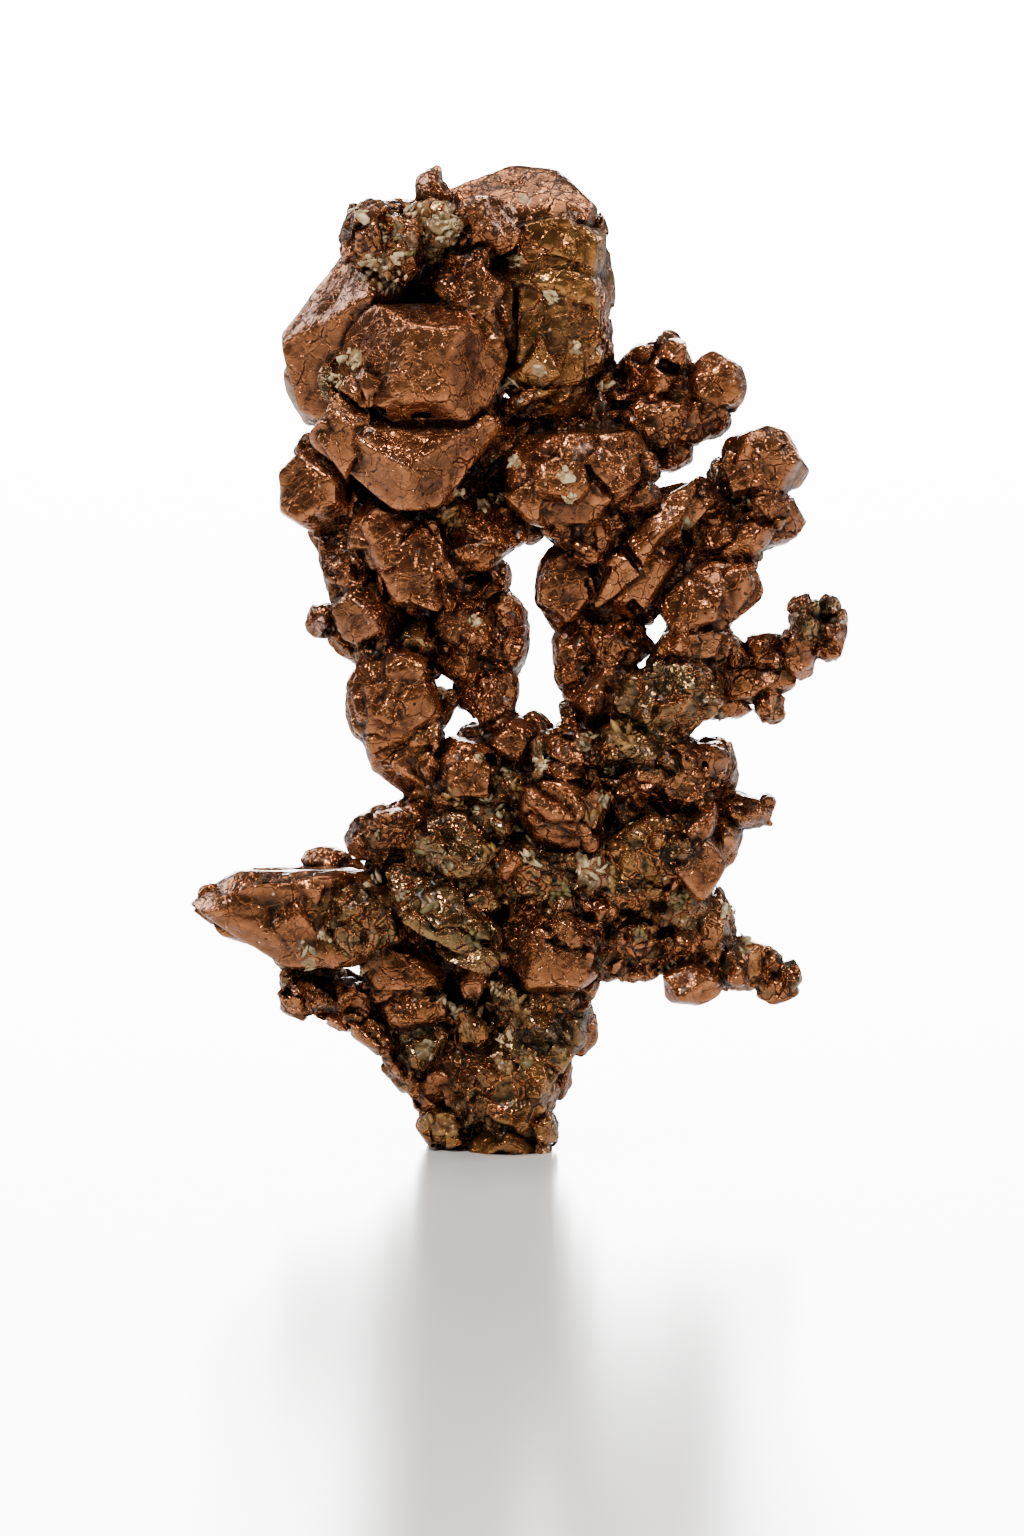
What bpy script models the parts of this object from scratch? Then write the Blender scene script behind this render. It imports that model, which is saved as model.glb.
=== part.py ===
"""Native copper nugget: a branching cluster of rounded copper crystals.

The nugget grew as one open, antler-like branch.  A stub of a stem with a thin
fin beside it ends in a broken, flat foot.  Above them a core of intergrown
crystals throws out spurs left and right, a left column that carries the
heavy head, and a fan of arms on the right.  It is split at its main forks,
and every crystal within a branch is grown into one solid.

Metres, +Z up, -Y is the front.  The origin is on the foot plane, under the
middle of the stem.
"""
import math

import bmesh
import bpy
import numpy as np
from mathutils import Matrix, Vector

# ---------------------------------------------------------------- dimensions
UNIT = 0.0001            # the elevation below is drawn in tenths of a millimetre
EYE_DISTANCE = 0.900     # the elevation is drawn as seen from this far away
EYE_ANGLE = 4.0          # and from this many degrees above level
SHEET_U = 512.0          # middle of the elevation sheet
SHEET_V = 768.0
AIM_HEIGHT = 0.03824     # height that the middle of the sheet looks at

FORK_GAP = 0.0003        # clearance between two branches at a fork
VOXEL = 0.00072          # crystals closer than this grow together
TRIANGLES = 5200         # of the whole nugget, before the forks are cut
FLATS_SEED = 4100
BLOCK_DEPTH = 0.040      # half length of a fork block, front to back
DEPTH_SCALE = 1.28       # the depths in the table are stretched by this

# ------------------------------------------------------------------ crystals
# branch, u (right), v (down), depth (away), half width, half height,
# half depth, roll in degrees (right end up), habit, tone.
# habit 0 is a smooth blocky crystal, 1 a rough one, 2 a hackly one.
# A large crystal may name flats of its own: direction on the elevation,
# distance from its middle, and how far the flat turns to face forwards.
CRYSTALS = """
head 421 362 -62  88 66 66   0 0 p 92:58:0 85:54:25 150:60:45 165:79:0 0:52:88 -10:57:45 -25:79:0 35:67:0 -50:82:5 225:66:10 270:60:40
head 408 452 -55  88 56 60   0 0 p 90:42:50 -25:55:55 215:55:50 234:51:0 -39:57:0 270:55:0
head 345 340   5  64 94 78   0 0 p 142:53:0 142:58:35 184:62:0 196:62:0 200:60:60
head 467 322 -18  44 72 58   8 0 p
head 553 300  12  56 100 76   0 0 y 0:62:80 180:54:20 -6:52:10 90:92:30
head 522 214  22  76 46 62   0 0 p 112:50:0 88:48:0 46:57:0 90:42:45
head 488 450  -6  18 22 24   0 1 g
head 581 300  22  27 88 58   0 1 c
head 540 240 -22  46 32 40  12 1 c
head 552 345 -18  50 50 48   0 1 y
head 368 232 -45  26 32 34 -10 2 c
head 396 243 -48  34 30 34   0 2 c
head 433 192 -28  17 22 18   0 2 d
head 430 232 -42  34 26 32   0 2 m
head 482 232 -38  36 28 32   8 1 c
head 402 214   0  30 16 28   0 1 c
head 350 385 -42  26 26 26   0 2 g
head 470 262 -38  30 26 30 -20 1 c
head 484 300 -30  26 44 34   6 0 p
head 597 245  25  12 40 34   0 1 o
head 600 345  25  14 48 38   0 1 c
head 600 384   5  14 16 22   0 2 o
head 540 396 -26  42  7 26  14 1 y
head 336 314   0  26 34 40 -35 0 p
head 313 374  12  27 50 48   8 0 p
head 358 214 -36  13 12 18   0 2 g
head 486 420 -12  16 28 30   0 1 c
head 480 255  76  54 44 38  10 0 c
head 396 378  74  50 48 42   0 0 p
head 534 350  84  38 44 36  20 1 o
head 344 322  62  34 48 38 -10 0 c
head 440 330  48  92 95 52   0 0 p
head 554 310  62  50 84 48   6 1 c
head 378 312  55  60 60 48 -20 0 c
upper_branch 566 478 -42  62 50 46   4 1 g
upper_branch 604 470 -38  46 40 40   0 0 o
upper_branch 634 496 -42  24 16 22   8 1 o
upper_branch 643 470 -36  16 20 22   0 1 o
upper_branch 586 530 -22  42 26 34   0 1 c
upper_branch 622 530 -14  20 26 26   0 1 c
upper_branch 560 418  14  70 24 42   0 2 d
upper_branch 520 440  -8  34 22 34 -15 1 c
upper_branch 640 377   6  21 36 30 -22 1 d
upper_branch 530 524   2  14 20 22   0 1 d
upper_branch 560 466  54  36 32 32   0 1 c
upper_branch 656 398  34  26 26 24  20 1 c
upper_branch 670 370  10  17 41 28   4 1 d
upper_branch 622 402   8  26 30 32 -30 1 d
upper_branch 655 418  -4  34 30 34   0 1 c
upper_branch 713 388   0  29 33 30 -16 0 o
upper_branch 698 418   4  33 25 32  28 1 c
upper_branch 672 452   6  23 18 26  40 1 d
upper_branch 600 425  20  56 34 44   0 1 c
upper_branch 580 500  18  52 36 34   0 1 c
right_arm 761 465  -8  43 34 36   0 0 c
right_arm 721 475  -4  15 20 22   0 1 g
right_arm 764 520  -8  38 28 33  14 1 o
right_arm 744 562 -14  17 20 22   0 1 c
right_arm 648 610   4  12 14 16   0 1 d
right_arm 742 500  24  28 32 26  10 1 c
right_arm 692 622  20  30 32 26  30 1 c
right_arm 656 716  20  36 28 28  20 1 c
right_arm 728 538 -14  34 21 28   4 1 c
right_arm 703 500 -10  17 22 22   0 1 c
right_arm 672 520 -20  24 36 28 -24 0 c
right_arm 642 572 -24  27 50 30 -30 0 c
right_arm 690 556  -4  26 24 26   0 2 d
right_arm 712 600 -28  51 33 36  36 0 c
right_arm 692 644 -26  38 20 30  16 1 c
right_arm 668 698 -28  52 36 38  24 1 g
right_arm 634 750 -30  42 32 38  28 1 g
right_arm 700 690   0  24 30 30   0 1 d
middle_arm 560 584 -10  23 40 28   0 0 c
middle_arm 602 568   2  34 38 34 -18 1 d
middle_arm 620 643 -10  30 24 30   4 1 o
middle_arm 574 655   0  21 42 30   4 1 d
middle_arm 602 690  -4  32 38 32 -24 0 d
middle_arm 578 712   0  16 20 20 -10 2 g
middle_arm 606 612  14  30 30 30   0 1 d
side_twig 728 655  -2  18 18 20   0 1 c
side_twig 766 653   0  26 20 22   0 1 d
side_twig 752 680   6  46 24 28   6 1 d
side_twig 772 708   2  17 16 18   0 2 o
side_twig 722 704  10  28 17 22 -10 1 d
side_twig 800 652  -2  20 30 24   0 1 d
side_twig 812 625  -4  20 26 22   0 2 g
side_twig 832 634  -2  14 30 20  -8 2 d
side_twig 806 606  -4  13 12 14   0 2 d
side_twig 830 606   0  12 11 13   0 2 g
core 655 776 -16  70 34 46  16 1 c
core 560 812 -52  38 34 36 -38 0 c
core 582 836 -50  22 14 22 -42 0 c
core 568 758 -40  32 34 34  12 1 c
core 541 762 -44   8 30 22  -8 1 m
core 512 742 -24  26 22 28  14 0 c
core 702 804   2  14 24 28   0 1 d
core 410 924   0  16 24 26   0 1 d
core 462 968  16  14 22 26   0 1 d
core 386 862 -10  20 10 18   0 1 d
core 534 736 -16  18 22 26 -14 1 c
core 480 737  -2  22 14 22   0 1 o
core 650 860 -26  62 44 48  10 2 y
core 688 858 -30  34 40 40  34 0 c
core 600 870 -36  30 34 34   0 2 m
core 545 866 -34  62 26 38   0 2 g
core 512 862 -44  26 20 26   0 1 o
core 452 852 -50  40 30 34 -12 1 g
core 405 832 -28  54 28 34   6 1 o
core 365 838 -24  20 18 20  10 1 c
core 487 818 -34  32 20 28   0 2 g
core 500 786 -22  30 30 32   0 2 g
core 444 912 -52  62 28 32 -38 1 g
core 470 893 -40  34 22 28   0 2 g
core 558 928 -20  52 42 44   0 1 c
core 636 938   4  62 34 44   0 2 d
core 560 904 -38  20 15 20   0 1 c
core 600 904 -38  22 16 20   0 1 c
core 676 906 -16  26 26 28   0 2 m
core 540 870  22  120 70 44   0 1 c
core 610 800  30  80 60 40  14 1 c
core 430 950  30  22 40 30 -30 1 d
core 604 852  60  56 40 36   8 0 c
core 500 872  58  44 32 32   0 1 c
core 660 802  60  34 30 28  30 1 c
core 546 796  52  40 38 32   0 0 c
core 566 862 100  26 22 34   0 0 o
core 584 868 128  16 15 20   0 1 c
right_shelf 716 768  14  22 32 32  -6 1 d
right_shelf 742 810   8  32 17 26 -12 1 c
right_shelf 767 808   6   9 15 14 -10 1 c
right_shelf 712 846   4  22 38 32 -26 1 c
right_shelf 724 850  14  13 32 24 -26 1 y
right_shelf 707 750  -6  17 16 20   0 1 g
right_spur 693 984 -18  27 22 26  -8 0 c
right_spur 707 925   0  23 40 32  10 1 c
right_spur 723 914  12  10 26 20  10 1 y
right_spur 735 964   0  38 25 28   0 1 o
right_spur 765 958   4  20 12 16 -26 1 c
right_spur 778 987   2  22 14 17   0 1 o
right_spur 790 976   0  12 16 15   0 1 g
right_spur 640 962   2  34 20 28   8 2 d
right_spur 612 960   6  22 20 24   0 2 d
stem 548 960 -26  44 34 38  -8 0 c
stem 540 1020 -10  50 50 50   0 1 c
stem 516 1090  -6  41 54 50   4 1 y
stem 514 1128  -6  41 32 48   0 1 o
stem 582 1030   0  17 26 24   0 1 o
stem 583 988  -4  14 18 18 -20 1 o
stem 557 1062   6  16 36 28   0 1 c
stem 516 1042  42  34 46 28   0 1 c
stem 512 1118  34  38 36 32   0 1 c
stem 512 1142  -2  42 30 50   0 0 o
stem 480 984 -18  19 24 22   0 0 o
stem 508 996 -30  20 26 22   0 2 g
stem 482 1082 -16  22 50 32   0 2 g
stem 474 1022 -20  20 26 22   0 2 y
stem 530 1000  26  44 60 30   0 1 c
stem 500 938   4  50 34 36   0 1 d
left_fin 398 975  -8  36 28 30   8 0 c
left_fin 412 1005 -12  32 24 28   0 1 o
left_fin 424 1045  -4  34 34 32   0 1 g
left_fin 440 1080   4  30 40 32 -14 0 c
left_fin 443 1120  44  21 30 30   0 1 y
left_fin 298 1003 -12  24 13 18 -28 1 o
left_fin 340 1018 -12  28 12 18 -18 1 o
left_fin 381 1037 -10  28 12 20 -44 1 o
left_fin 438 985  24  22 26 28   0 1 d
left_fin 462 1130  18  16 22 24   0 1 y
left_fin 407 1071 -6   24 20 24 -44 1 c
left_fin 322 985  14  42 22 24  -8 1 d
left_fin 357 994  -2  26 18 22   0 1 c
left_fin 288 978  -2  10 18 20   0 2 g
left_fin 440 1040 34  34 50 28 -14 1 c
left_spur 296 915 -20 102 52 46   0 0 o 125:70:0 90:46:0 236:49:0 270:50:0 90:50:50 250:48:50 0:42:88
left_spur 384 884   8  18 20 20   0 1 d
left_spur 306 915  28  40 32 28   0 1 c
left_spur 258 906 -20  44 36 36   6 0 o
left_spur 226 903 -20  31 20 22   8 0 o
left_spur 300 893 -14  58 24 40   0 0 o
left_spur 352 924 -22  46 40 38   0 2 g
left_spur 327 862  22  23 16 20   0 0 o
left_spur 350 880  18  20 18 22   0 1 d
left_spur 382 924  -4  22 34 30   0 1 c
left_spur 290 940 -12  30 26 34 -34 1 g
left_column 324 488  -4  43 42 44   8 0 c
left_column 478 490   6  24 22 28   0 1 c
left_column 428 658   0  14 22 24   0 1 d
left_column 394 716  28  32 40 30   0 0 c
left_column 356 502  44  38 34 28   0 0 c
left_column 420 556  44  32 32 28   0 1 c
left_column 312 450   4  18 18 22   0 1 o
left_column 344 564   2  24 38 32  -4 1 c
left_column 385 538 -34  26 30 28   0 0 c
left_column 414 570 -32  38 36 36   0 0 c
left_column 462 535 -18  60 30 40   8 1 c
left_column 500 528 -14  22 26 28   0 1 o
left_column 369 614 -18  35 33 34   0 0 g
left_column 322 622   4  17 17 18   0 1 c
left_column 344 642   2  22 12 16 -40 1 c
left_column 392 700 -26  42 44 42   0 0 c
left_column 372 706 -10  24 36 34   0 1 p
left_column 402 756 -16  28 48 38  34 0 c
left_column 406 668 -40  24 13 18 -16 0 c
left_column 415 638 -22  18 18 22   0 1 g
left_column 378 652 -16  18 16 20   0 1 c
left_column 424 738 -36  18 16 20   0 1 o
left_column 463 772 -34  37 34 36   0 0 c
left_column 431 766 -46  14 17 18   0 1 d
left_column 446 800 -14  34 22 30   0 1 o
left_column 438 712 -16  14 24 22 -30 1 d
left_column 440 590 -30  12 22 20   0 1 c
left_column 400 610  18  46 60 28   0 1 d
left_column 370 520  24  70 44 28   0 1 c
inner_column 494 634  10  34 52 36   0 1 c
inner_column 464 640 -22  25 44 28  -6 1 o
inner_column 488 690  -6  30 30 30   0 1 c
inner_column 500 714  -2  16 18 20   0 1 c
inner_column 464 586   6  30 32 32   0 1 d
inner_column 493 580   4  18 24 24   0 1 d
"""

# --------------------------------------------------------------------- forks
# Corners of the fork lines on the elevation.  Branches that meet share them.
CORNERS = {
    "a1": (150, 430), "a2": (318, 436), "a3": (328, 474), "a4": (356, 506),
    "a5": (410, 512), "a6": (468, 502), "a7": (494, 470),
    "b1": (503, 432), "b2": (516, 408), "b3": (560, 402), "b4": (598, 403),
    "b5": (611, 386), "b6": (614, 350), "b7": (650, 250), "b8": (650, 100),
    "c1": (510, 502), "c2": (524, 545),
    "d1": (560, 553), "d2": (600, 556), "d3": (630, 546),
    "e1": (646, 518), "e2": (660, 496), "e3": (674, 480), "e4": (692, 474),
    "e5": (706, 452), "e6": (736, 424), "e7": (752, 400), "e8": (950, 380),
    "f1": (614, 566), "f2": (590, 606), "f3": (600, 632), "f4": (634, 616),
    "f5": (655, 612), "f6": (655, 642), "f7": (646, 668), "f8": (622, 692),
    "f9": (598, 732), "g1": (590, 746),
    "h1": (600, 776), "h2": (642, 782), "h3": (682, 746), "h4": (700, 728),
    "i1": (708, 700), "i2": (712, 664), "i3": (722, 640), "i4": (748, 622),
    "i5": (772, 586), "i6": (950, 560),
    "j1": (738, 734), "j2": (950, 745),
    "k1": (693, 765), "k2": (712, 800), "k3": (712, 850), "k4": (722, 888),
    "k5": (950, 880),
    "l1": (690, 896), "l2": (682, 936), "l3": (640, 945), "l4": (598, 950),
    "m1": (598, 985), "m2": (650, 1010), "m3": (950, 1200),
    "n1": (560, 936), "n2": (520, 926), "n3": (490, 946), "n4": (470, 968),
    "o1": (460, 1000), "o2": (458, 1040), "o3": (455, 1080), "o4": (463, 1110),
    "o5": (466, 1250),
    "p1": (430, 946), "p2": (402, 930), "p3": (380, 962), "p4": (355, 966),
    "p5": (338, 963), "p6": (150, 952),
    "q1": (405, 900), "q2": (385, 870), "q3": (365, 861), "q4": (345, 850),
    "q5": (332, 832), "q6": (150, 780),
    "r1": (385, 802), "r2": (425, 812), "r3": (455, 824), "r4": (482, 803),
    "r5": (497, 775), "r6": (490, 746), "r7": (478, 736), "r8": (462, 720),
    "s1": (502, 734), "s2": (522, 716), "s3": (540, 690),
    "t1": (450, 690), "t2": (439, 660), "t3": (439, 612), "t4": (452, 590),
    "t5": (472, 568), "t6": (502, 562),
    "u1": (545, 722), "u2": (562, 732),
    "z1": (150, 100), "z2": (950, 1250), "z3": (150, 1250), "z4": (950, 250),
}
BRANCHES = {
    "head": "z1 a1 a2 a3 a4 a5 a6 a7 b1 b2 b3 b4 b5 b6 b7 b8",
    "upper_branch": "a7 c1 c2 d1 d2 d3 e1 e2 e3 e4 e5 e6 e7 e8 z4 b7 b6 b5 b4 b3 b2 b1",
    "right_arm": ("e8 e7 e6 e5 e4 e3 e2 e1 d3 f1 f2 f3 f4 f5 f6 f7 f8 f9 g1 "
                  "h1 h2 h3 h4 i1 i2 i3 i4 i5 i6"),
    "middle_arm": "c2 u1 u2 g1 f9 f8 f7 f6 f5 f4 f3 f2 f1 d3 d2 d1",
    "side_twig": "h4 j1 j2 i6 i5 i4 i3 i2 i1",
    "right_shelf": "h4 k1 k2 k3 k4 k5 j2 j1",
    "core": ("q6 q5 q4 q3 q2 q1 p2 p1 n4 n3 n2 n1 l4 l3 l2 l1 k4 k3 k2 k1 h4 h3 "
             "h2 h1 g1 u2 u1 s3 s2 s1 r7 r6 r5 r4 r3 r2 r1"),
    "right_spur": "l4 m1 m2 m3 k5 k4 l1 l2 l3",
    "stem": "n4 o1 o2 o3 o4 o5 z2 m3 m2 m1 l4 n1 n2 n3",
    "left_fin": "p2 p3 p4 p5 p6 z3 o5 o4 o3 o2 o1 n4 p1",
    "left_spur": "q6 p6 p5 p4 p3 p2 q1 q2 q3 q4 q5",
    "left_column": ("q6 r1 r2 r3 r4 r5 r6 r7 r8 t1 t2 t3 t4 t5 t6 c2 c1 a7 a6 a5 "
                    "a4 a3 a2 a1"),
    "inner_column": "r8 r7 s1 s2 s3 c2 t6 t5 t4 t3 t2 t1",
}
# colour, roughness, metallic
FINISH = {
    "head": ((0.200, 0.082, 0.042), 0.42, 0.85),
    "upper_branch": ((0.180, 0.072, 0.036), 0.45, 0.85),
    "right_arm": ((0.185, 0.074, 0.038), 0.42, 0.85),
    "middle_arm": ((0.150, 0.060, 0.031), 0.45, 0.85),
    "side_twig": ((0.140, 0.058, 0.031), 0.48, 0.85),
    "right_shelf": ((0.160, 0.065, 0.033), 0.46, 0.85),
    "core": ((0.150, 0.066, 0.036), 0.52, 0.75),
    "right_spur": ((0.165, 0.066, 0.034), 0.48, 0.80),
    "stem": ((0.170, 0.074, 0.038), 0.48, 0.80),
    "left_fin": ((0.165, 0.070, 0.036), 0.48, 0.80),
    "left_spur": ((0.215, 0.086, 0.043), 0.42, 0.85),
    "left_column": ((0.170, 0.068, 0.035), 0.44, 0.85),
    "inner_column": ((0.160, 0.062, 0.031), 0.46, 0.85),
}


def place(u, v, depth):
    """A point of the elevation, at a depth in metres, in the nugget's frame."""
    e = math.radians(EYE_ANGLE)
    a = (u - SHEET_U) * UNIT / EYE_DISTANCE
    b = (SHEET_V - v) * UNIT / EYE_DISTANCE
    cy = -EYE_DISTANCE * math.cos(e)
    cz = AIM_HEIGHT + EYE_DISTANCE * math.sin(e)
    t = (depth - cy) / (math.cos(e) + b * math.sin(e))
    return Vector((a * t, depth, cz + t * (b * math.cos(e) - math.sin(e))))


def flats(index, habit):
    """The flats of one crystal: a cube and an octahedron, turned and jittered."""
    rng = np.random.RandomState(FLATS_SEED + index)
    q = rng.normal(size=4)
    q /= np.linalg.norm(q)
    w, x, y, z = q
    turn = np.array([[1 - 2 * (y * y + z * z), 2 * (x * y - z * w), 2 * (x * z + y * w)],
                     [2 * (x * y + z * w), 1 - 2 * (x * x + z * z), 2 * (y * z - x * w)],
                     [2 * (x * z - y * w), 2 * (y * z + x * w), 1 - 2 * (x * x + y * y)]])
    cube = [(s if i == k else 0.0) for k in range(3) for s in (1.0, -1.0) for i in range(3)]
    cube = np.array(cube).reshape(6, 3)
    octa = np.array([(i, j, k) for i in (1, -1) for j in (1, -1) for k in (1, -1)]) / math.sqrt(3)
    n = np.vstack([cube, octa]) @ turn.T
    n += rng.normal(size=n.shape) * (0.07 + 0.05 * habit)
    n /= np.linalg.norm(n, axis=1)[:, None]
    off = np.concatenate([rng.uniform(0.90, 1.01, 6), rng.uniform(0.92, 1.02, 8)])
    return n, off


def own_flats(row, a, b, c, roll):
    """The flats that a large crystal names, in the frame of its unit sphere."""
    r = math.radians(roll)
    out_n, out_o = [], []
    for item in row[10:]:
        angle, offset, facing = (float(x) for x in item.split(":"))
        g, f = math.radians(angle), math.radians(facing)
        nx, ny, nz = math.cos(g) * math.cos(f), -math.sin(f), math.sin(g) * math.cos(f)
        # undo the roll, then the stretch
        lx = nx * math.cos(r) + nz * math.sin(r)
        lz = -nx * math.sin(r) + nz * math.cos(r)
        m = np.array([lx * a, ny * c, lz * b])
        size = np.linalg.norm(m)
        out_n.append(m / size)
        out_o.append(offset / size)
    return out_n, out_o


def crystal(into, index, row):
    """Add one crystal: an icosphere cut by its flats, then stretched and placed."""
    u, v, depth, a, b, c, roll = (float(x) for x in row[1:8])
    depth, c = depth * DEPTH_SCALE, c * DEPTH_SCALE
    habit = int(row[8])
    n, off = flats(index, habit)
    more_n, more_off = own_flats(row, a, b, c, roll)
    if more_n:
        n = np.vstack([n, more_n])
        off = np.concatenate([off + 0.06, more_off])
    one = bmesh.new()
    bmesh.ops.create_icosphere(one, subdivisions=2, radius=1.08)
    for normal, o in zip(n, off):
        geom = one.verts[:] + one.edges[:] + one.faces[:]
        bmesh.ops.bisect_plane(one, geom=geom, dist=1e-6, plane_co=Vector(normal * o),
                               plane_no=Vector(normal), clear_outer=True)
    hull = bmesh.ops.convex_hull(one, input=one.verts[:], use_existing_faces=False)
    junk = {g for k in ("geom_interior", "geom_unused") for g in hull[k]}
    bmesh.ops.delete(one, geom=[g for g in junk if isinstance(g, bmesh.types.BMVert)],
                     context="VERTS")
    bmesh.ops.dissolve_limit(one, angle_limit=math.radians(1.0), verts=one.verts[:],
                             edges=one.edges[:])
    bmesh.ops.triangulate(one, faces=one.faces[:])
    bmesh.ops.recalc_face_normals(one, faces=one.faces[:])
    move = (Matrix.Translation(place(u, v, depth * UNIT))
            @ Matrix.Rotation(-math.radians(roll), 4, "Y")
            @ Matrix.Diagonal((a * UNIT, c * UNIT, b * UNIT, 1.0)))
    bmesh.ops.transform(one, matrix=move, verts=one.verts[:])
    mesh = bpy.data.meshes.new("crystal")
    one.to_mesh(mesh)
    one.free()
    into.from_mesh(mesh)
    bpy.data.meshes.remove(mesh)


def object_from(name, mesh, collection):
    obj = bpy.data.objects.new(name, mesh)
    collection.objects.link(obj)
    return obj


def applied(obj):
    """The object's mesh with its modifiers in it."""
    bpy.context.view_layer.update()
    graph = bpy.context.evaluated_depsgraph_get()
    return bpy.data.meshes.new_from_object(obj.evaluated_get(graph))


def largest_shell(mesh):
    """Drop every loose shell of a mesh but the largest one."""
    bm = bmesh.new()
    bm.from_mesh(mesh)
    bm.verts.ensure_lookup_table()
    seen = set()
    shells = []
    for start in bm.verts:
        if start.index in seen:
            continue
        stack, shell = [start], []
        seen.add(start.index)
        while stack:
            vert = stack.pop()
            shell.append(vert)
            for edge in vert.link_edges:
                other = edge.other_vert(vert)
                if other.index not in seen:
                    seen.add(other.index)
                    stack.append(other)
        shells.append(shell)
    shells.sort(key=len, reverse=True)
    spare = [v for shell in shells[1:] for v in shell]
    if spare:
        bmesh.ops.delete(bm, geom=spare, context="VERTS")
    bm.to_mesh(mesh)
    bm.free()
    return mesh


def fork_block(name, corners, collection):
    """A branch's own block of space: its outline on the elevation, drawn in by
    half the fork gap and run through from front to back."""
    pts = [place(*CORNERS[c], 0.0) for c in corners]
    pts = [Vector((p.x, p.z)) for p in pts]
    area = sum(p.x * q.y - q.x * p.y for p, q in zip(pts, pts[1:] + pts[:1]))
    if area < 0:
        pts.reverse()
    inset = []
    count = len(pts)
    for i, p in enumerate(pts):
        before = (p - pts[i - 1]).normalized()
        after = (pts[(i + 1) % count] - p).normalized()
        left_b = Vector((-before.y, before.x))
        left_a = Vector((-after.y, after.x))
        mitre = (left_a + left_b).normalized()
        inset.append(p + mitre * (0.5 * FORK_GAP / max(0.35, mitre.dot(left_a))))
    bm = bmesh.new()
    ring = [bm.verts.new((p.x, -BLOCK_DEPTH, p.y)) for p in inset]
    face = bm.faces.new(ring)
    out = bmesh.ops.extrude_face_region(bm, geom=[face])
    moved = [g for g in out["geom"] if isinstance(g, bmesh.types.BMVert)]
    bmesh.ops.translate(bm, vec=(0.0, 2 * BLOCK_DEPTH, 0.0), verts=moved)
    bmesh.ops.triangulate(bm, faces=bm.faces[:])
    bmesh.ops.recalc_face_normals(bm, faces=bm.faces[:])
    mesh = bpy.data.meshes.new(name)
    bm.to_mesh(mesh)
    bm.free()
    block = object_from(name, mesh, collection)
    block.display_type = "WIRE"
    block.hide_render = True
    return block


def finish(name):
    colour, rough, metal = FINISH[name]
    mat = bpy.data.materials.new(name + "_copper")
    mat.use_nodes = True
    shader = mat.node_tree.nodes["Principled BSDF"]
    shader.inputs["Base Color"].default_value = (*colour, 1.0)
    shader.inputs["Roughness"].default_value = rough
    shader.inputs["Metallic"].default_value = metal
    return mat


def build():
    for old in list(bpy.data.objects):
        bpy.data.objects.remove(old, do_unlink=True)
    scene = bpy.context.scene
    scene.unit_settings.system = "METRIC"
    parts = bpy.data.collections.new("native_copper_nugget")
    cutters = bpy.data.collections.new("cutters")
    scene.collection.children.link(parts)
    scene.collection.children.link(cutters)

    # every crystal, then grown together
    bm = bmesh.new()
    rows = [line.split() for line in CRYSTALS.strip().splitlines()]
    for index, row in enumerate(rows):
        crystal(bm, index, row)
    mesh = bpy.data.meshes.new("crystals")
    bm.to_mesh(mesh)
    bm.free()
    whole = object_from("crystals", mesh, cutters)
    whole.display_type = "WIRE"
    whole.hide_render = True
    grow = whole.modifiers.new("grow together", "REMESH")
    grow.mode = "VOXEL"
    grow.voxel_size = VOXEL
    grown = largest_shell(applied(whole))
    whole.modifiers.clear()
    whole.data = grown
    thin = whole.modifiers.new("facets", "DECIMATE")
    thin.ratio = TRIANGLES / sum(len(p.vertices) - 2 for p in grown.polygons)
    whole.data = largest_shell(applied(whole))
    whole.modifiers.clear()

    # the broken foot: everything below the foot plane goes
    foot_mesh = bpy.data.meshes.new("foot_plane")
    bm = bmesh.new()
    bmesh.ops.create_cube(bm, size=0.2)
    bmesh.ops.translate(bm, vec=(0.0, 0.0, -0.1), verts=bm.verts[:])
    bm.to_mesh(foot_mesh)
    bm.free()
    foot = object_from("foot_plane", foot_mesh, cutters)
    foot.display_type = "WIRE"
    foot.hide_render = True
    cut = whole.modifiers.new("foot", "BOOLEAN")
    cut.operation = "DIFFERENCE"
    cut.object = foot
    whole.data = largest_shell(applied(whole))
    whole.modifiers.clear()

    for name, corners in BRANCHES.items():
        block = fork_block(name + "_fork", corners.split(), cutters)
        branch = object_from(name, whole.data.copy(), parts)
        keep = branch.modifiers.new("fork", "BOOLEAN")
        keep.operation = "INTERSECT"
        keep.object = block
        branch.data = largest_shell(applied(branch))
        branch.modifiers.clear()
        branch.data.name = name
        bm = bmesh.new()
        bm.from_mesh(branch.data)
        bmesh.ops.dissolve_degenerate(bm, dist=2e-5, edges=bm.edges[:])
        bmesh.ops.triangulate(bm, faces=bm.faces[:])
        bm.to_mesh(branch.data)
        bm.free()
        branch.data.materials.clear()
        branch.data.materials.append(finish(name))
        branch["triangles"] = len(branch.data.polygons)


build()
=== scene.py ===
"""The native copper nugget, dressed: scene.py builds its fine surface.

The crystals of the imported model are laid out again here, as a distance field
in millimetres, broken up into plates, cracks and hackly grains, and meshed
branch by branch with a surface net.  Pale mineral grains are set on it.
"""
import math

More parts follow.
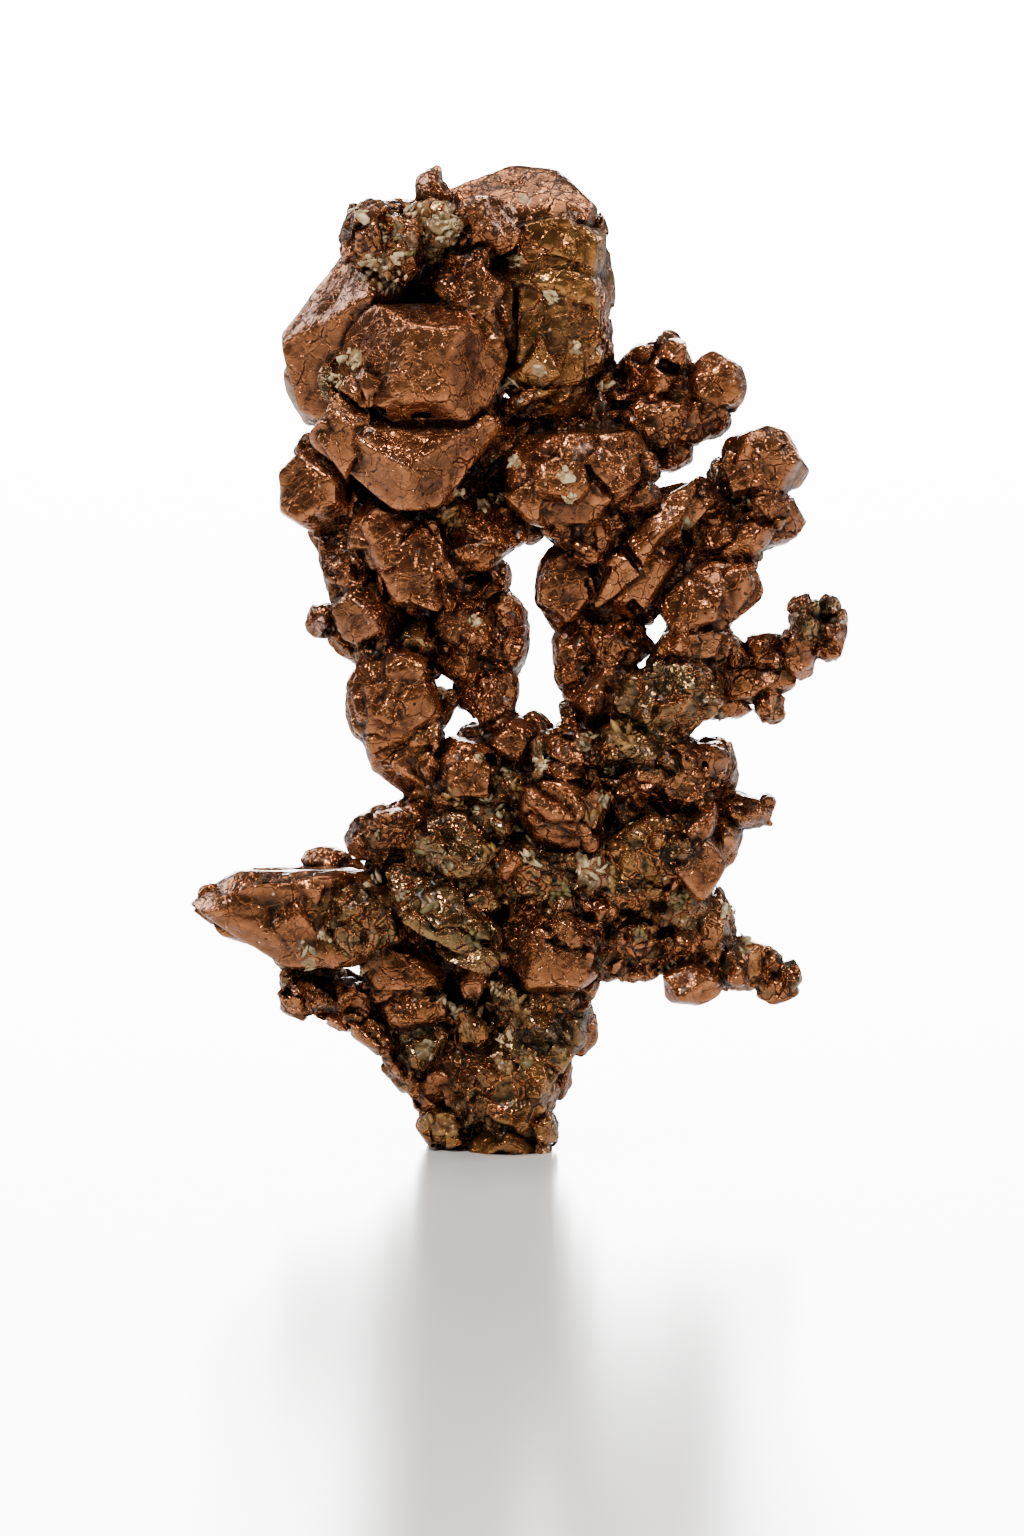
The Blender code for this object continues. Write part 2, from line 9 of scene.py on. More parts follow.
import bpy
import numpy as np
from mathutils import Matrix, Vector


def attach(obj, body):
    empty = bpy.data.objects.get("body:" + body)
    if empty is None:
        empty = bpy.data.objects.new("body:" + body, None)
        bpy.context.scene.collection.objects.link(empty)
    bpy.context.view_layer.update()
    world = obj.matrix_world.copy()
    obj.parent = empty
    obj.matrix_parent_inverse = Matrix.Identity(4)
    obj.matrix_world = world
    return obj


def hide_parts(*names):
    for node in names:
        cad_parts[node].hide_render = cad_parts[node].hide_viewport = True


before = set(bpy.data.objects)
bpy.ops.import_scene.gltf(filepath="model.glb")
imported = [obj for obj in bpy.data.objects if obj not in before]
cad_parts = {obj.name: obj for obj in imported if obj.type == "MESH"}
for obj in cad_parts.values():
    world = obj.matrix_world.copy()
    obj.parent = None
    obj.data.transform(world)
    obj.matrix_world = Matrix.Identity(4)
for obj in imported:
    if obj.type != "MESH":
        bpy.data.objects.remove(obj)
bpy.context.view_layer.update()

# ------------------------------------------------ the layout, as in the model
UNIT = 0.1               # the elevation is drawn in tenths of a millimetre
EYE_DISTANCE = 900.0
EYE_ANGLE = 4.0
SHEET_U, SHEET_V = 512.0, 768.0
AIM_HEIGHT = 38.24
FLATS_SEED = 4100
DEPTH_SCALE = 1.28

# branch, u (right), v (down), depth (away), half width, half height,
# half depth, roll, habit (0 smooth, 1 rough, 2 hackly), tone, own flats
CRYSTALS = """
head 421 362 -62  88 66 66   0 0 p 92:58:0 85:54:25 165:50:45 165:79:0 0:52:88 -10:57:45 -25:79:0 35:67:0 -50:82:5 225:66:10 270:60:40
head 408 452 -55  88 56 60   0 0 p 90:42:50 -25:55:55 215:55:50 234:51:0 -39:57:0 270:55:0
head 345 340   5  64 94 78   0 0 p 142:53:0 142:58:35 184:62:0 196:62:0 200:60:60
head 467 322 -18  44 72 58   8 0 p
head 549 300  10  60 104 80   0 0 y 0:64:84 180:52:20 -6:54:14 90:94:30
head 522 214  22  76 46 62   0 0 o 112:50:0 88:48:0 46:57:0 90:42:45
head 488 450  -6  18 22 24   0 1 g
head 581 300  22  27 88 58   0 1 c
head 540 240  -2  50 30 34 -12 1 c
head 556 352   2  44 44 40   0 0 y
head 368 232 -45  26 32 34 -10 2 c
head 396 243 -48  34 30 34   0 2 c
head 433 192 -28  17 22 18   0 2 d
head 430 232 -42  34 26 32   0 2 m
head 482 232 -38  36 28 32   8 1 c
head 402 214   0  30 16 28   0 1 c
head 350 385 -42  26 26 26   0 2 g
head 470 262 -38  30 26 30 -20 1 c
head 484 300 -30  26 44 34   6 0 p
head 597 245  25  12 40 34   0 1 o
head 600 345  25  14 48 38   0 1 c
head 600 384   5  14 16 22   0 2 o
head 540 396 -26  42  7 26  14 1 y
head 338 316  10  26 34 40 -35 0 p
head 315 376  24  27 48 48   8 0 p
head 358 214 -36  13 12 18   0 2 g
head 486 420 -12  16 28 30   0 1 c
head 480 255  76  54 44 38  10 0 c
head 396 378  74  50 48 42   0 0 p
head 534 350  84  38 44 36  20 1 o
head 344 322  62  34 48 38 -10 0 c
head 440 330  48  92 95 52   0 0 p
head 554 310  62  50 84 48   6 1 c
head 378 312  55  60 60 48 -20 0 c
upper_branch 566 478 -42  62 50 46   4 0 c 95:45:0 50:53:10 135:50:25 0:60:0 -38:53:15 -90:45:0 -140:50:15 180:58:10 20:45:62 150:44:55 265:42:58
upper_branch 604 470 -38  46 40 40   0 0 o
upper_branch 634 496 -42  24 16 22   8 1 o
upper_branch 643 470 -36  16 20 22   0 1 o
upper_branch 586 530 -22  42 26 34   0 1 c
upper_branch 622 530 -14  20 26 26   0 1 c
upper_branch 560 418  14  70 24 42   0 2 d
upper_branch 520 440  -8  34 22 34 -15 1 c
upper_branch 640 377   6  21 36 30 -22 1 d
upper_branch 530 524   2  14 20 22   0 1 d
upper_branch 560 466  54  36 32 32   0 1 c
upper_branch 656 398  34  26 26 24  20 1 c
upper_branch 670 370  10  17 41 28   4 1 d
upper_branch 622 402   8  26 30 32 -30 1 d
upper_branch 655 418  -4  34 30 34   0 1 c
upper_branch 713 388   0  29 33 30 -16 0 o
upper_branch 698 418   4  33 25 32  28 1 c
upper_branch 672 452   6  23 18 26  40 1 d
upper_branch 600 425  20  56 34 44   0 1 c
upper_branch 580 500  18  52 36 34   0 1 c
right_arm 761 465  -8  43 34 36   0 0 d
right_arm 721 475  -4  15 20 22   0 1 g
right_arm 764 520  -8  38 28 33  14 1 c
right_arm 744 562 -14  17 20 22   0 1 c
right_arm 648 610   4  12 14 16   0 1 d
right_arm 742 500  24  28 32 26  10 1 c
right_arm 692 622  20  30 32 26  30 1 c
right_arm 656 716  20  36 28 28  20 1 c
right_arm 728 538 -14  34 21 28   4 1 c
right_arm 703 500 -10  17 22 22   0 1 c
right_arm 672 520 -20  24 36 28 -24 0 c
right_arm 642 572 -24  27 50 30 -30 0 c
right_arm 690 556  -4  26 24 26   0 2 d
right_arm 712 600 -28  51 33 36  36 0 c
right_arm 692 644 -26  38 20 30  16 1 c
right_arm 668 698 -28  52 36 38  24 1 g
right_arm 634 750 -30  42 32 38  28 1 g
right_arm 700 690   0  24 30 30   0 1 d
middle_arm 560 584 -10  23 40 28   0 0 c
middle_arm 602 568   2  34 38 34 -18 1 d
middle_arm 620 643 -10  30 24 30   4 1 o
middle_arm 574 655   0  21 42 30   4 1 d
middle_arm 602 690  -4  32 38 32 -24 0 d
middle_arm 578 712   0  16 20 20 -10 2 g
middle_arm 606 612  14  30 30 30   0 1 d
side_twig 728 655  -2  18 18 20   0 1 c
side_twig 766 653   0  26 20 22   0 1 d
side_twig 752 680   6  46 24 28   6 1 d
side_twig 772 708   2  17 16 18   0 2 o
side_twig 722 704  10  28 17 22 -10 1 d
side_twig 800 652  -2  20 30 24   0 1 d
side_twig 812 625  -4  20 26 22   0 2 g
side_twig 832 634  -2  14 30 20  -8 2 d
side_twig 806 606  -4  13 12 14   0 2 d
side_twig 830 606   0  12 11 13   0 2 g
core 655 776 -16  70 34 46  16 1 c
core 560 812 -52  38 34 36 -38 0 c
core 582 836 -50  22 14 22 -42 0 c
core 568 758 -40  32 34 34  12 1 c
core 541 762 -44   8 30 22  -8 1 m
core 512 742 -24  26 22 28  14 0 c
core 702 804   2  14 24 28   0 1 d
core 410 924   0  16 24 26   0 1 d
core 462 968  16  14 22 26   0 1 d
core 386 862 -10  20 10 18   0 1 d
core 534 736 -16  18 22 26 -14 1 c
core 480 737  -2  22 14 22   0 1 o
core 650 860 -26  62 44 48  10 2 y
core 688 858 -30  34 40 40  34 0 c
core 600 870 -36  30 34 34   0 2 m
core 545 866 -34  62 26 38   0 2 g
core 512 862 -44  26 20 26   0 1 o
core 452 852 -50  40 30 34 -12 1 g
core 405 832 -28  54 28 34   6 1 o
core 365 838 -24  20 18 20  10 1 c
core 487 818 -34  32 20 28   0 2 g
core 500 786 -22  30 30 32   0 2 g
core 444 912 -52  62 28 32 -38 1 g
core 470 893 -40  34 22 28   0 2 g
core 558 928 -20  52 42 44   0 1 c
core 636 938   4  62 34 44   0 2 d
core 560 904 -38  20 15 20   0 1 c
core 600 904 -38  22 16 20   0 1 c
core 676 906 -16  26 26 28   0 2 m
core 540 870  22  120 70 44   0 1 c
core 610 800  30  80 60 40  14 1 c
core 430 950  30  22 40 30 -30 1 d
core 604 852  60  56 40 36   8 0 c
core 500 872  58  44 32 32   0 1 c
core 660 802  60  34 30 28  30 1 c
core 546 796  52  40 38 32   0 0 c
core 566 862 100  26 22 34   0 0 o
core 584 868 128  16 15 20   0 1 c
right_shelf 716 768  14  22 32 32  -6 1 d
right_shelf 742 810   8  32 17 26 -12 1 c
right_shelf 767 808   6   9 15 14 -10 1 c
right_shelf 712 846   4  22 38 32 -26 1 c
right_shelf 724 850  14  13 32 24 -26 1 y
right_shelf 707 750  -6  17 16 20   0 1 g
right_spur 693 984 -18  27 22 26  -8 0 c
right_spur 707 925   0  23 40 32  10 1 c
right_spur 723 914  12  10 26 20  10 1 y
right_spur 735 964   0  38 25 28   0 1 o
right_spur 765 958   4  20 12 16 -26 1 c
right_spur 778 987   2  22 14 17   0 1 o
right_spur 790 976   0  12 16 15   0 1 g
right_spur 640 962   2  34 20 28   8 2 d
right_spur 612 960   6  22 20 24   0 2 d
stem 548 960 -26  44 34 38  -8 0 c
stem 540 1020 -10  50 50 50   0 1 g
stem 516 1090  -6  41 54 50   4 1 y
stem 514 1128  -6  41 32 48   0 1 y
stem 582 1030   0  17 26 24   0 1 o
stem 583 988  -4  14 18 18 -20 1 o
stem 557 1062   6  16 36 28   0 1 c
stem 516 1042  42  34 46 28   0 1 c
stem 512 1118  34  38 36 32   0 1 c
stem 512 1142  -2  42 30 50   0 0 y
stem 480 984 -18  19 24 22   0 0 o
stem 508 996 -30  20 26 22   0 2 g
stem 482 1082 -16  22 50 32   0 2 g
stem 474 1022 -20  20 26 22   0 2 y
stem 530 1000  26  44 60 30   0 1 c
stem 500 938   4  50 34 36   0 1 d
left_fin 398 975  -8  36 28 30   8 0 c
left_fin 412 1005 -12  32 24 28   0 1 o
left_fin 424 1045  -4  34 34 32   0 1 g
left_fin 440 1080   4  30 40 32 -14 0 c
left_fin 443 1120  40  22 30 30   0 1 w
left_fin 298 1003 -12  24 13 18 -28 1 o
left_fin 340 1018 -12  28 12 18 -18 1 o
left_fin 381 1037 -10  28 12 20 -44 1 o
left_fin 438 985  24  22 26 28   0 1 d
left_fin 448 1132  14  24 20 24   0 1 w
left_fin 407 1071 -6   24 20 24 -44 1 c
left_fin 322 985  14  42 22 24  -8 1 d
left_fin 357 994  -2  26 18 22   0 1 c
left_fin 288 978  -2  10 18 20   0 2 g
left_fin 440 1040 34  34 50 28 -14 1 c
left_spur 296 915 -20 102 52 46   0 0 o 125:70:0 90:46:0 236:49:0 270:50:0 90:50:50 250:48:50 0:42:88
left_spur 384 884   8  18 20 20   0 1 d
left_spur 306 915  28  40 32 28   0 1 c
left_spur 258 906 -20  44 36 36   6 0 o
left_spur 226 903 -20  31 20 22   8 0 o
left_spur 300 893 -14  58 24 40   0 0 o
left_spur 356 920 -32  44 38 38   0 2 g
left_spur 327 862  22  23 16 20   0 0 o
left_spur 350 880  18  20 18 22   0 1 d
left_spur 382 924  -4  22 34 30   0 1 c
left_spur 290 940 -12  30 26 34 -34 1 g
left_column 324 488  -4  43 42 44   8 0 d
left_column 478 490   6  24 22 28   0 1 c
left_column 428 658   0  14 22 24   0 1 d
left_column 394 716  28  32 40 30   0 0 c
left_column 356 502  44  38 34 28   0 0 c
left_column 420 556  44  32 32 28   0 1 c
left_column 312 450   4  18 18 22   0 1 o
left_column 344 564   2  24 38 32  -4 1 c
left_column 385 538 -34  26 30 28   0 0 c
left_column 414 570 -32  38 36 36   0 0 c
left_column 462 535 -18  60 30 40   8 1 c
left_column 500 528 -14  22 26 28   0 1 o
left_column 369 614 -18  35 33 34   0 0 c
left_column 322 622   4  17 17 18   0 1 c
left_column 344 642   2  22 12 16 -40 1 c
left_column 392 700 -26  42 44 42   0 0 c
left_column 372 706 -10  24 36 34   0 1 p
left_column 402 756 -16  28 48 38  34 0 c
left_column 406 668 -40  24 13 18 -16 0 c
left_column 415 638 -22  18 18 22   0 1 g
left_column 378 652 -16  18 16 20   0 1 c
left_column 424 738 -36  18 16 20   0 1 o
left_column 463 772 -34  37 34 36   0 0 c
left_column 431 766 -46  14 17 18   0 1 d
left_column 446 800 -14  34 22 30   0 1 o
left_column 438 712 -16  14 24 22 -30 1 d
left_column 440 590 -30  12 22 20   0 1 c
left_column 400 610  18  46 60 28   0 1 d
left_column 370 520  24  70 44 28   0 1 c
inner_column 494 634  10  34 52 36   0 1 c
inner_column 464 640 -22  25 44 28  -6 1 o
inner_column 488 690  -6  30 30 30   0 1 c
inner_column 500 714  -2  16 18 20   0 1 c
inner_column 464 586   6  30 32 32   0 1 d
inner_column 493 580   4  18 24 24   0 1 d
left_fin 441 1128  -6  22 20 24   0 1 w
left_column 466 506  22  52 26 26   0 1 d
left_fin 316 1004 -16  36  9 14 -32 1 o
left_fin 366 1036 -16  30  9 14 -36 0 o
left_fin 402 1073 -14  32 10 16 -52 1 o
upper_branch 661 372  -8  38 16 24  58 0 d
right_arm 646 542 -42  74 15 20  52 0 c
right_arm 748 540 -26  38 16 20  36 0 c
core 438 925 -64  54 15 20 -38 0 g
core 556 815 -66  40 20 20 -34 0 c
core 690 850 -44  50 14 22  64 0 c
core 520 770  42  30 26 22   0 1 d
core 455 966  54  42 36 26   0 1 d
right_arm 680 586  -6  24 26 24  30 1 d
left_fin 380 1014  12  26 18 18 -20 1 d
left_column 503 478  26  20 18 16   0 1 d
core 600 728  30  22 16 16   0 1 d
"""

# fork lines on the elevation, and the branches they bound
CORNERS = {
    "a1": (150, 430), "a2": (318, 436), "a3": (328, 474), "a4": (356, 506),
    "a5": (410, 512), "a6": (468, 502), "a7": (494, 470),
    "b1": (503, 432), "b2": (516, 408), "b3": (560, 402), "b4": (598, 403),
    "b5": (611, 386), "b6": (614, 350), "b7": (650, 250), "b8": (650, 100),
    "c1": (510, 502), "c2": (524, 545),
    "d1": (560, 553), "d2": (600, 556), "d3": (630, 546),
    "e1": (646, 518), "e2": (660, 496), "e3": (674, 480), "e4": (692, 474),
    "e5": (706, 452), "e6": (736, 424), "e7": (752, 400), "e8": (950, 380),
    "f1": (614, 566), "f2": (590, 606), "f3": (600, 632), "f4": (634, 616),
    "f5": (655, 612), "f6": (655, 642), "f7": (646, 668), "f8": (622, 692),
    "f9": (598, 732), "g1": (590, 746),
    "h1": (600, 776), "h2": (642, 782), "h3": (682, 746), "h4": (700, 728),
    "i1": (708, 700), "i2": (712, 664), "i3": (722, 640), "i4": (748, 622),
    "i5": (772, 586), "i6": (950, 560),
    "j1": (738, 734), "j2": (950, 745),
    "k1": (693, 765), "k2": (712, 800), "k3": (712, 850), "k4": (722, 888),
    "k5": (950, 880),
    "l1": (690, 896), "l2": (682, 936), "l3": (640, 945), "l4": (598, 950),
    "m1": (598, 985), "m2": (650, 1010), "m3": (950, 1200),
    "n1": (560, 936), "n2": (520, 926), "n3": (490, 946), "n4": (470, 968),
    "o1": (460, 1000), "o2": (458, 1040), "o3": (455, 1080), "o4": (463, 1110),
    "o5": (466, 1250),
    "p1": (430, 946), "p2": (402, 930), "p3": (380, 962), "p4": (355, 966),
    "p5": (338, 963), "p6": (150, 952),
    "q1": (405, 900), "q2": (385, 870), "q3": (365, 861), "q4": (345, 850),
    "q5": (332, 832), "q6": (150, 780),
    "r1": (385, 802), "r2": (425, 812), "r3": (455, 824), "r4": (482, 803),
    "r5": (497, 775), "r6": (490, 746), "r7": (478, 736), "r8": (462, 720),
    "s1": (502, 734), "s2": (522, 716), "s3": (540, 690),
    "t1": (450, 690), "t2": (439, 660), "t3": (439, 612), "t4": (452, 590),
    "t5": (472, 568), "t6": (502, 562),
    "u1": (545, 722), "u2": (562, 732),
    "z1": (150, 100), "z2": (950, 1250), "z3": (150, 1250), "z4": (950, 250),
}
BRANCHES = {
    "head": "z1 a1 a2 a3 a4 a5 a6 a7 b1 b2 b3 b4 b5 b6 b7 b8",
    "upper_branch": "a7 c1 c2 d1 d2 d3 e1 e2 e3 e4 e5 e6 e7 e8 z4 b7 b6 b5 b4 b3 b2 b1",
    "right_arm": ("e8 e7 e6 e5 e4 e3 e2 e1 d3 f1 f2 f3 f4 f5 f6 f7 f8 f9 g1 "
                  "h1 h2 h3 h4 i1 i2 i3 i4 i5 i6"),
    "middle_arm": "c2 u1 u2 g1 f9 f8 f7 f6 f5 f4 f3 f2 f1 d3 d2 d1",
    "side_twig": "h4 j1 j2 i6 i5 i4 i3 i2 i1",
    "right_shelf": "h4 k1 k2 k3 k4 k5 j2 j1",
    "core": ("q6 q5 q4 q3 q2 q1 p2 p1 n4 n3 n2 n1 l4 l3 l2 l1 k4 k3 k2 k1 h4 h3 "
             "h2 h1 g1 u2 u1 s3 s2 s1 r7 r6 r5 r4 r3 r2 r1"),
    "right_spur": "l4 m1 m2 m3 k5 k4 l1 l2 l3",
    "stem": "n4 o1 o2 o3 o4 o5 z2 m3 m2 m1 l4 n1 n2 n3",
    "left_fin": "p2 p3 p4 p5 p6 z3 o5 o4 o3 o2 o1 n4 p1",
    "left_spur": "q6 p6 p5 p4 p3 p2 q1 q2 q3 q4 q5",
    "left_column": ("q6 r1 r2 r3 r4 r5 r6 r7 r8 t1 t2 t3 t4 t5 t6 c2 c1 a7 a6 a5 "
                    "a4 a3 a2 a1"),
    "inner_column": "r8 r7 s1 s2 s3 c2 t6 t5 t4 t3 t2 t1",
}

STEP = 0.30              # grid step of the distance field, mm
BAND = 0.95              # the surface detail is worked out this far either side
CLEAR = 2.4              # the field's value away from everything
LOW = np.array([-33.9, -14.4, -0.9])
HIGH = np.array([35.7, 21.0, 100.2])
TONES = "pcoygmdw"
# base colours of the tones, linear
TONE_COLOURS = np.array([
    (0.036, 0.0128, 0.0061), # p: plain brown copper
    (0.038, 0.0126, 0.0056), # c: chocolate
    (0.058, 0.0178, 0.0058), # o: orange brown
    (0.092, 0.0390, 0.0092), # y: ochre
    (0.042, 0.0320, 0.0130), # g: olive
    (0.150, 0.104, 0.0500),  # m: mineral crust
    (0.033, 0.0113, 0.0057), # d: dark
    (0.190, 0.098, 0.0230),  # w: yellow ochre
])


def place(u, v, depth):
    """A point of the elevation at a depth in mm, in the nugget's frame, mm."""
    e = math.radians(EYE_ANGLE)
    a = (u - SHEET_U) * UNIT / EYE_DISTANCE
    b = (SHEET_V - v) * UNIT / EYE_DISTANCE
    cy = -EYE_DISTANCE * math.cos(e)
    cz = AIM_HEIGHT + EYE_DISTANCE * math.sin(e)
    t = (depth - cy) / (math.cos(e) + b * math.sin(e))
    return np.array((a * t, depth, cz + t * (b * math.cos(e) - math.sin(e))))


def seen(p):
    """Where points in mm lie on the elevation: u, v and distance."""
    e = math.radians(EYE_ANGLE)
    y = p[:, 1] + EYE_DISTANCE * math.cos(e)
    z = p[:, 2] - AIM_HEIGHT - EYE_DISTANCE * math.sin(e)
    w = y * math.cos(e) - z * math.sin(e)
    up = y * math.sin(e) + z * math.cos(e)
    s = EYE_DISTANCE / UNIT
    return SHEET_U + p[:, 0] / w * s, SHEET_V - up / w * s, w


def flats(index, habit):
    """The flats of one crystal: a cube and an octahedron, turned and jittered."""
    rng = np.random.RandomState(FLATS_SEED + index)
    q = rng.normal(size=4)
    q /= np.linalg.norm(q)
    w, x, y, z = q
    turn = np.array([[1 - 2 * (y * y + z * z), 2 * (x * y - z * w), 2 * (x * z + y * w)],
                     [2 * (x * y + z * w), 1 - 2 * (x * x + z * z), 2 * (y * z - x * w)],
                     [2 * (x * z - y * w), 2 * (y * z + x * w), 1 - 2 * (x * x + y * y)]])
    cube = [(s if i == k else 0.0) for k in range(3) for s in (1.0, -1.0) for i in range(3)]
    cube = np.array(cube).reshape(6, 3)
    octa = np.array([(i, j, k) for i in (1, -1) for j in (1, -1) for k in (1, -1)]) / math.sqrt(3)
    n = np.vstack([cube, octa]) @ turn.T
    n += rng.normal(size=n.shape) * (0.07 + 0.05 * habit)
    n /= np.linalg.norm(n, axis=1)[:, None]
    off = np.concatenate([rng.uniform(0.90, 1.01, 6), rng.uniform(0.92, 1.02, 8)])
    # about a third of them stayed small
    off[rng.permutation(14)[:4]] += rng.uniform(0.03, 0.10, 4)
    return n, off


def own_flats(row):
    """Flats that a large crystal names: real normals and distances in mm."""
    out = []
    for item in row[10:]:
        angle, offset, facing = (float(x) for x in item.split(":"))
        g, f = math.radians(angle), math.radians(facing)
        out.append((math.cos(g) * math.cos(f), -math.sin(f), math.sin(g) * math.cos(f),
                    offset * UNIT))
    return np.array(out).reshape(-1, 4)


# ------------------------------------------------------------ smooth noise
AXES = [np.arange(LOW[a], HIGH[a] + 0.5 * STEP, STEP).astype(np.float32) for a in range(3)]
SHAPE = tuple(len(a) for a in AXES)


def ramp(coords, size):
    """Rows that blend a lattice onto coordinates, with a smooth step."""
    t = (coords - coords[0]) / size
    i = np.floor(t).astype(int)
    f = t - i
    f = f * f * (3 - 2 * f)
    m = np.zeros((len(coords), i.max() + 2), np.float32)
    m[np.arange(len(coords)), i] = 1 - f
    m[np.arange(len(coords)), i + 1] = f
    return m


def grid_noise(size, seed):
    """Smooth noise from -1 to 1 over the whole grid, one lattice of this size."""
    mats = [ramp(a, size) for a in AXES]
    lattice = np.random.RandomState(seed).uniform(-1, 1, [m.shape[1] for m in mats]).astype(np.float32)
    out = np.tensordot(mats[0], lattice, (1, 0))
    out = np.tensordot(out, mats[1], (1, 1))          # x, z, y
    out = np.tensordot(out, mats[2], (1, 1))          # x, y, z
    return out


def point_noise(p, size, seed):
    """The same kind of noise at loose points."""
    q = (p - LOW.astype(np.float32)) / np.float32(size)
    i = np.floor(q).astype(np.int32)
    f = (q - i).astype(np.float32)
    f = f * f * (3 - 2 * f)
    n = i.max(axis=0) + 3
    i = np.maximum(i, 0)
    table = np.random.RandomState(seed).uniform(-1, 1, n.prod()).astype(np.float32)
    base = (i[:, 0] * n[1] + i[:, 1]) * n[2] + i[:, 2]
    out = np.zeros(len(p), np.float32)
    for dx in (0, 1):
        wx = f[:, 0] if dx else 1 - f[:, 0]
        for dy in (0, 1):
            wy = wx * (f[:, 1] if dy else 1 - f[:, 1])
            for dz in (0, 1):
                wz = wy * (f[:, 2] if dz else 1 - f[:, 2])
                out += wz * table[base + (dx * n[1] + dy) * n[2] + dz]
    return out


def shingles(p, size, seed, disc, steep, tilt, squash=(1.0, 1.0, 1.0)):
    """Overlapping tilted plates.  Each cell of a jittered lattice holds one
    plate; where several cover a point the highest wins.  Returns its height,
    how far it stands above the next one, and a number of its own."""
    scale = np.array(squash, np.float32) / np.float32(size)
    q = (p - LOW.astype(np.float32)) * scale + 2
    cell = np.floor(q).astype(np.int32)
    n = cell.max(axis=0) + 3
    rng = np.random.RandomState(seed)
    total = int(n.prod())
    site = rng.uniform(0.08, 0.92, (total, 3)).astype(np.float32)
    high = rng.uniform(-1, 1, total).astype(np.float32)
    lean = (rng.normal(size=(total, 3)) * tilt).astype(np.float32)
    own = rng.uniform(0, 1, total).astype(np.float32)
    reach = rng.uniform(0.75, 1.25, total).astype(np.float32) * disc
    best = np.full(len(p), -9, np.float32)
    second = np.full(len(p), -9, np.float32)
    who = np.zeros(len(p), np.int32)
    frac = q - cell
    base = (cell[:, 0] * n[1] + cell[:, 1]) * n[2] + cell[:, 2]
    for dx in (-1, 0, 1):
        for dy in (-1, 0, 1):
            for dz in (-1, 0, 1):
                k = base + (dx * n[1] + dy) * n[2] + dz
                d = frac - site[k]
                d -= np.array((dx, dy, dz), np.float32)
                r = np.sqrt((d * d).sum(1))
                h = high[k] + (d * lean[k]).sum(1)
                h -= steep * np.maximum(0, r - reach[k])
                up = h > best
                second = np.where(up, best, np.maximum(second, h))
                who = np.where(up, k, who)
                best = np.where(up, h, best)
    return best, best - second, own[who]


def box_blur(field, cells, times=2):
    """A box blur of this half width along each axis."""
    for _ in range(times):
        for axis in range(3):
            pad = [(0, 0)] * 3
            pad[axis] = (cells + 1, cells)
            run = np.cumsum(np.pad(field, pad, mode="edge"), axis=axis, dtype=np.float32)
            hi = [slice(None)] * 3
            lo = [slice(None)] * 3
            hi[axis] = slice(2 * cells + 1, None)
            lo[axis] = slice(0, -(2 * cells + 1))
            field = (run[tuple(hi)] - run[tuple(lo)]) / np.float32(2 * cells + 1)
    return field


def at(field, p):
    """A grid field read at points in mm."""
    q = (p - LOW) / STEP
    i = np.clip(np.floor(q).astype(int), 0, np.array(SHAPE) - 2)
    f = np.clip(q - i, 0, 1)
    out = np.zeros(len(p))
    for dx in (0, 1):
        for dy in (0, 1):
            for dz in (0, 1):
                w = ((f[:, 0] if dx else 1 - f[:, 0]) * (f[:, 1] if dy else 1 - f[:, 1])
                     * (f[:, 2] if dz else 1 - f[:, 2]))
                out += w * field[i[:, 0] + dx, i[:, 1] + dy, i[:, 2] + dz]
    return out


def nearest(field, p):
    q = np.clip(np.rint((p - LOW) / STEP).astype(int), 0, np.array(SHAPE) - 1)
    return field[q[:, 0], q[:, 1], q[:, 2]]


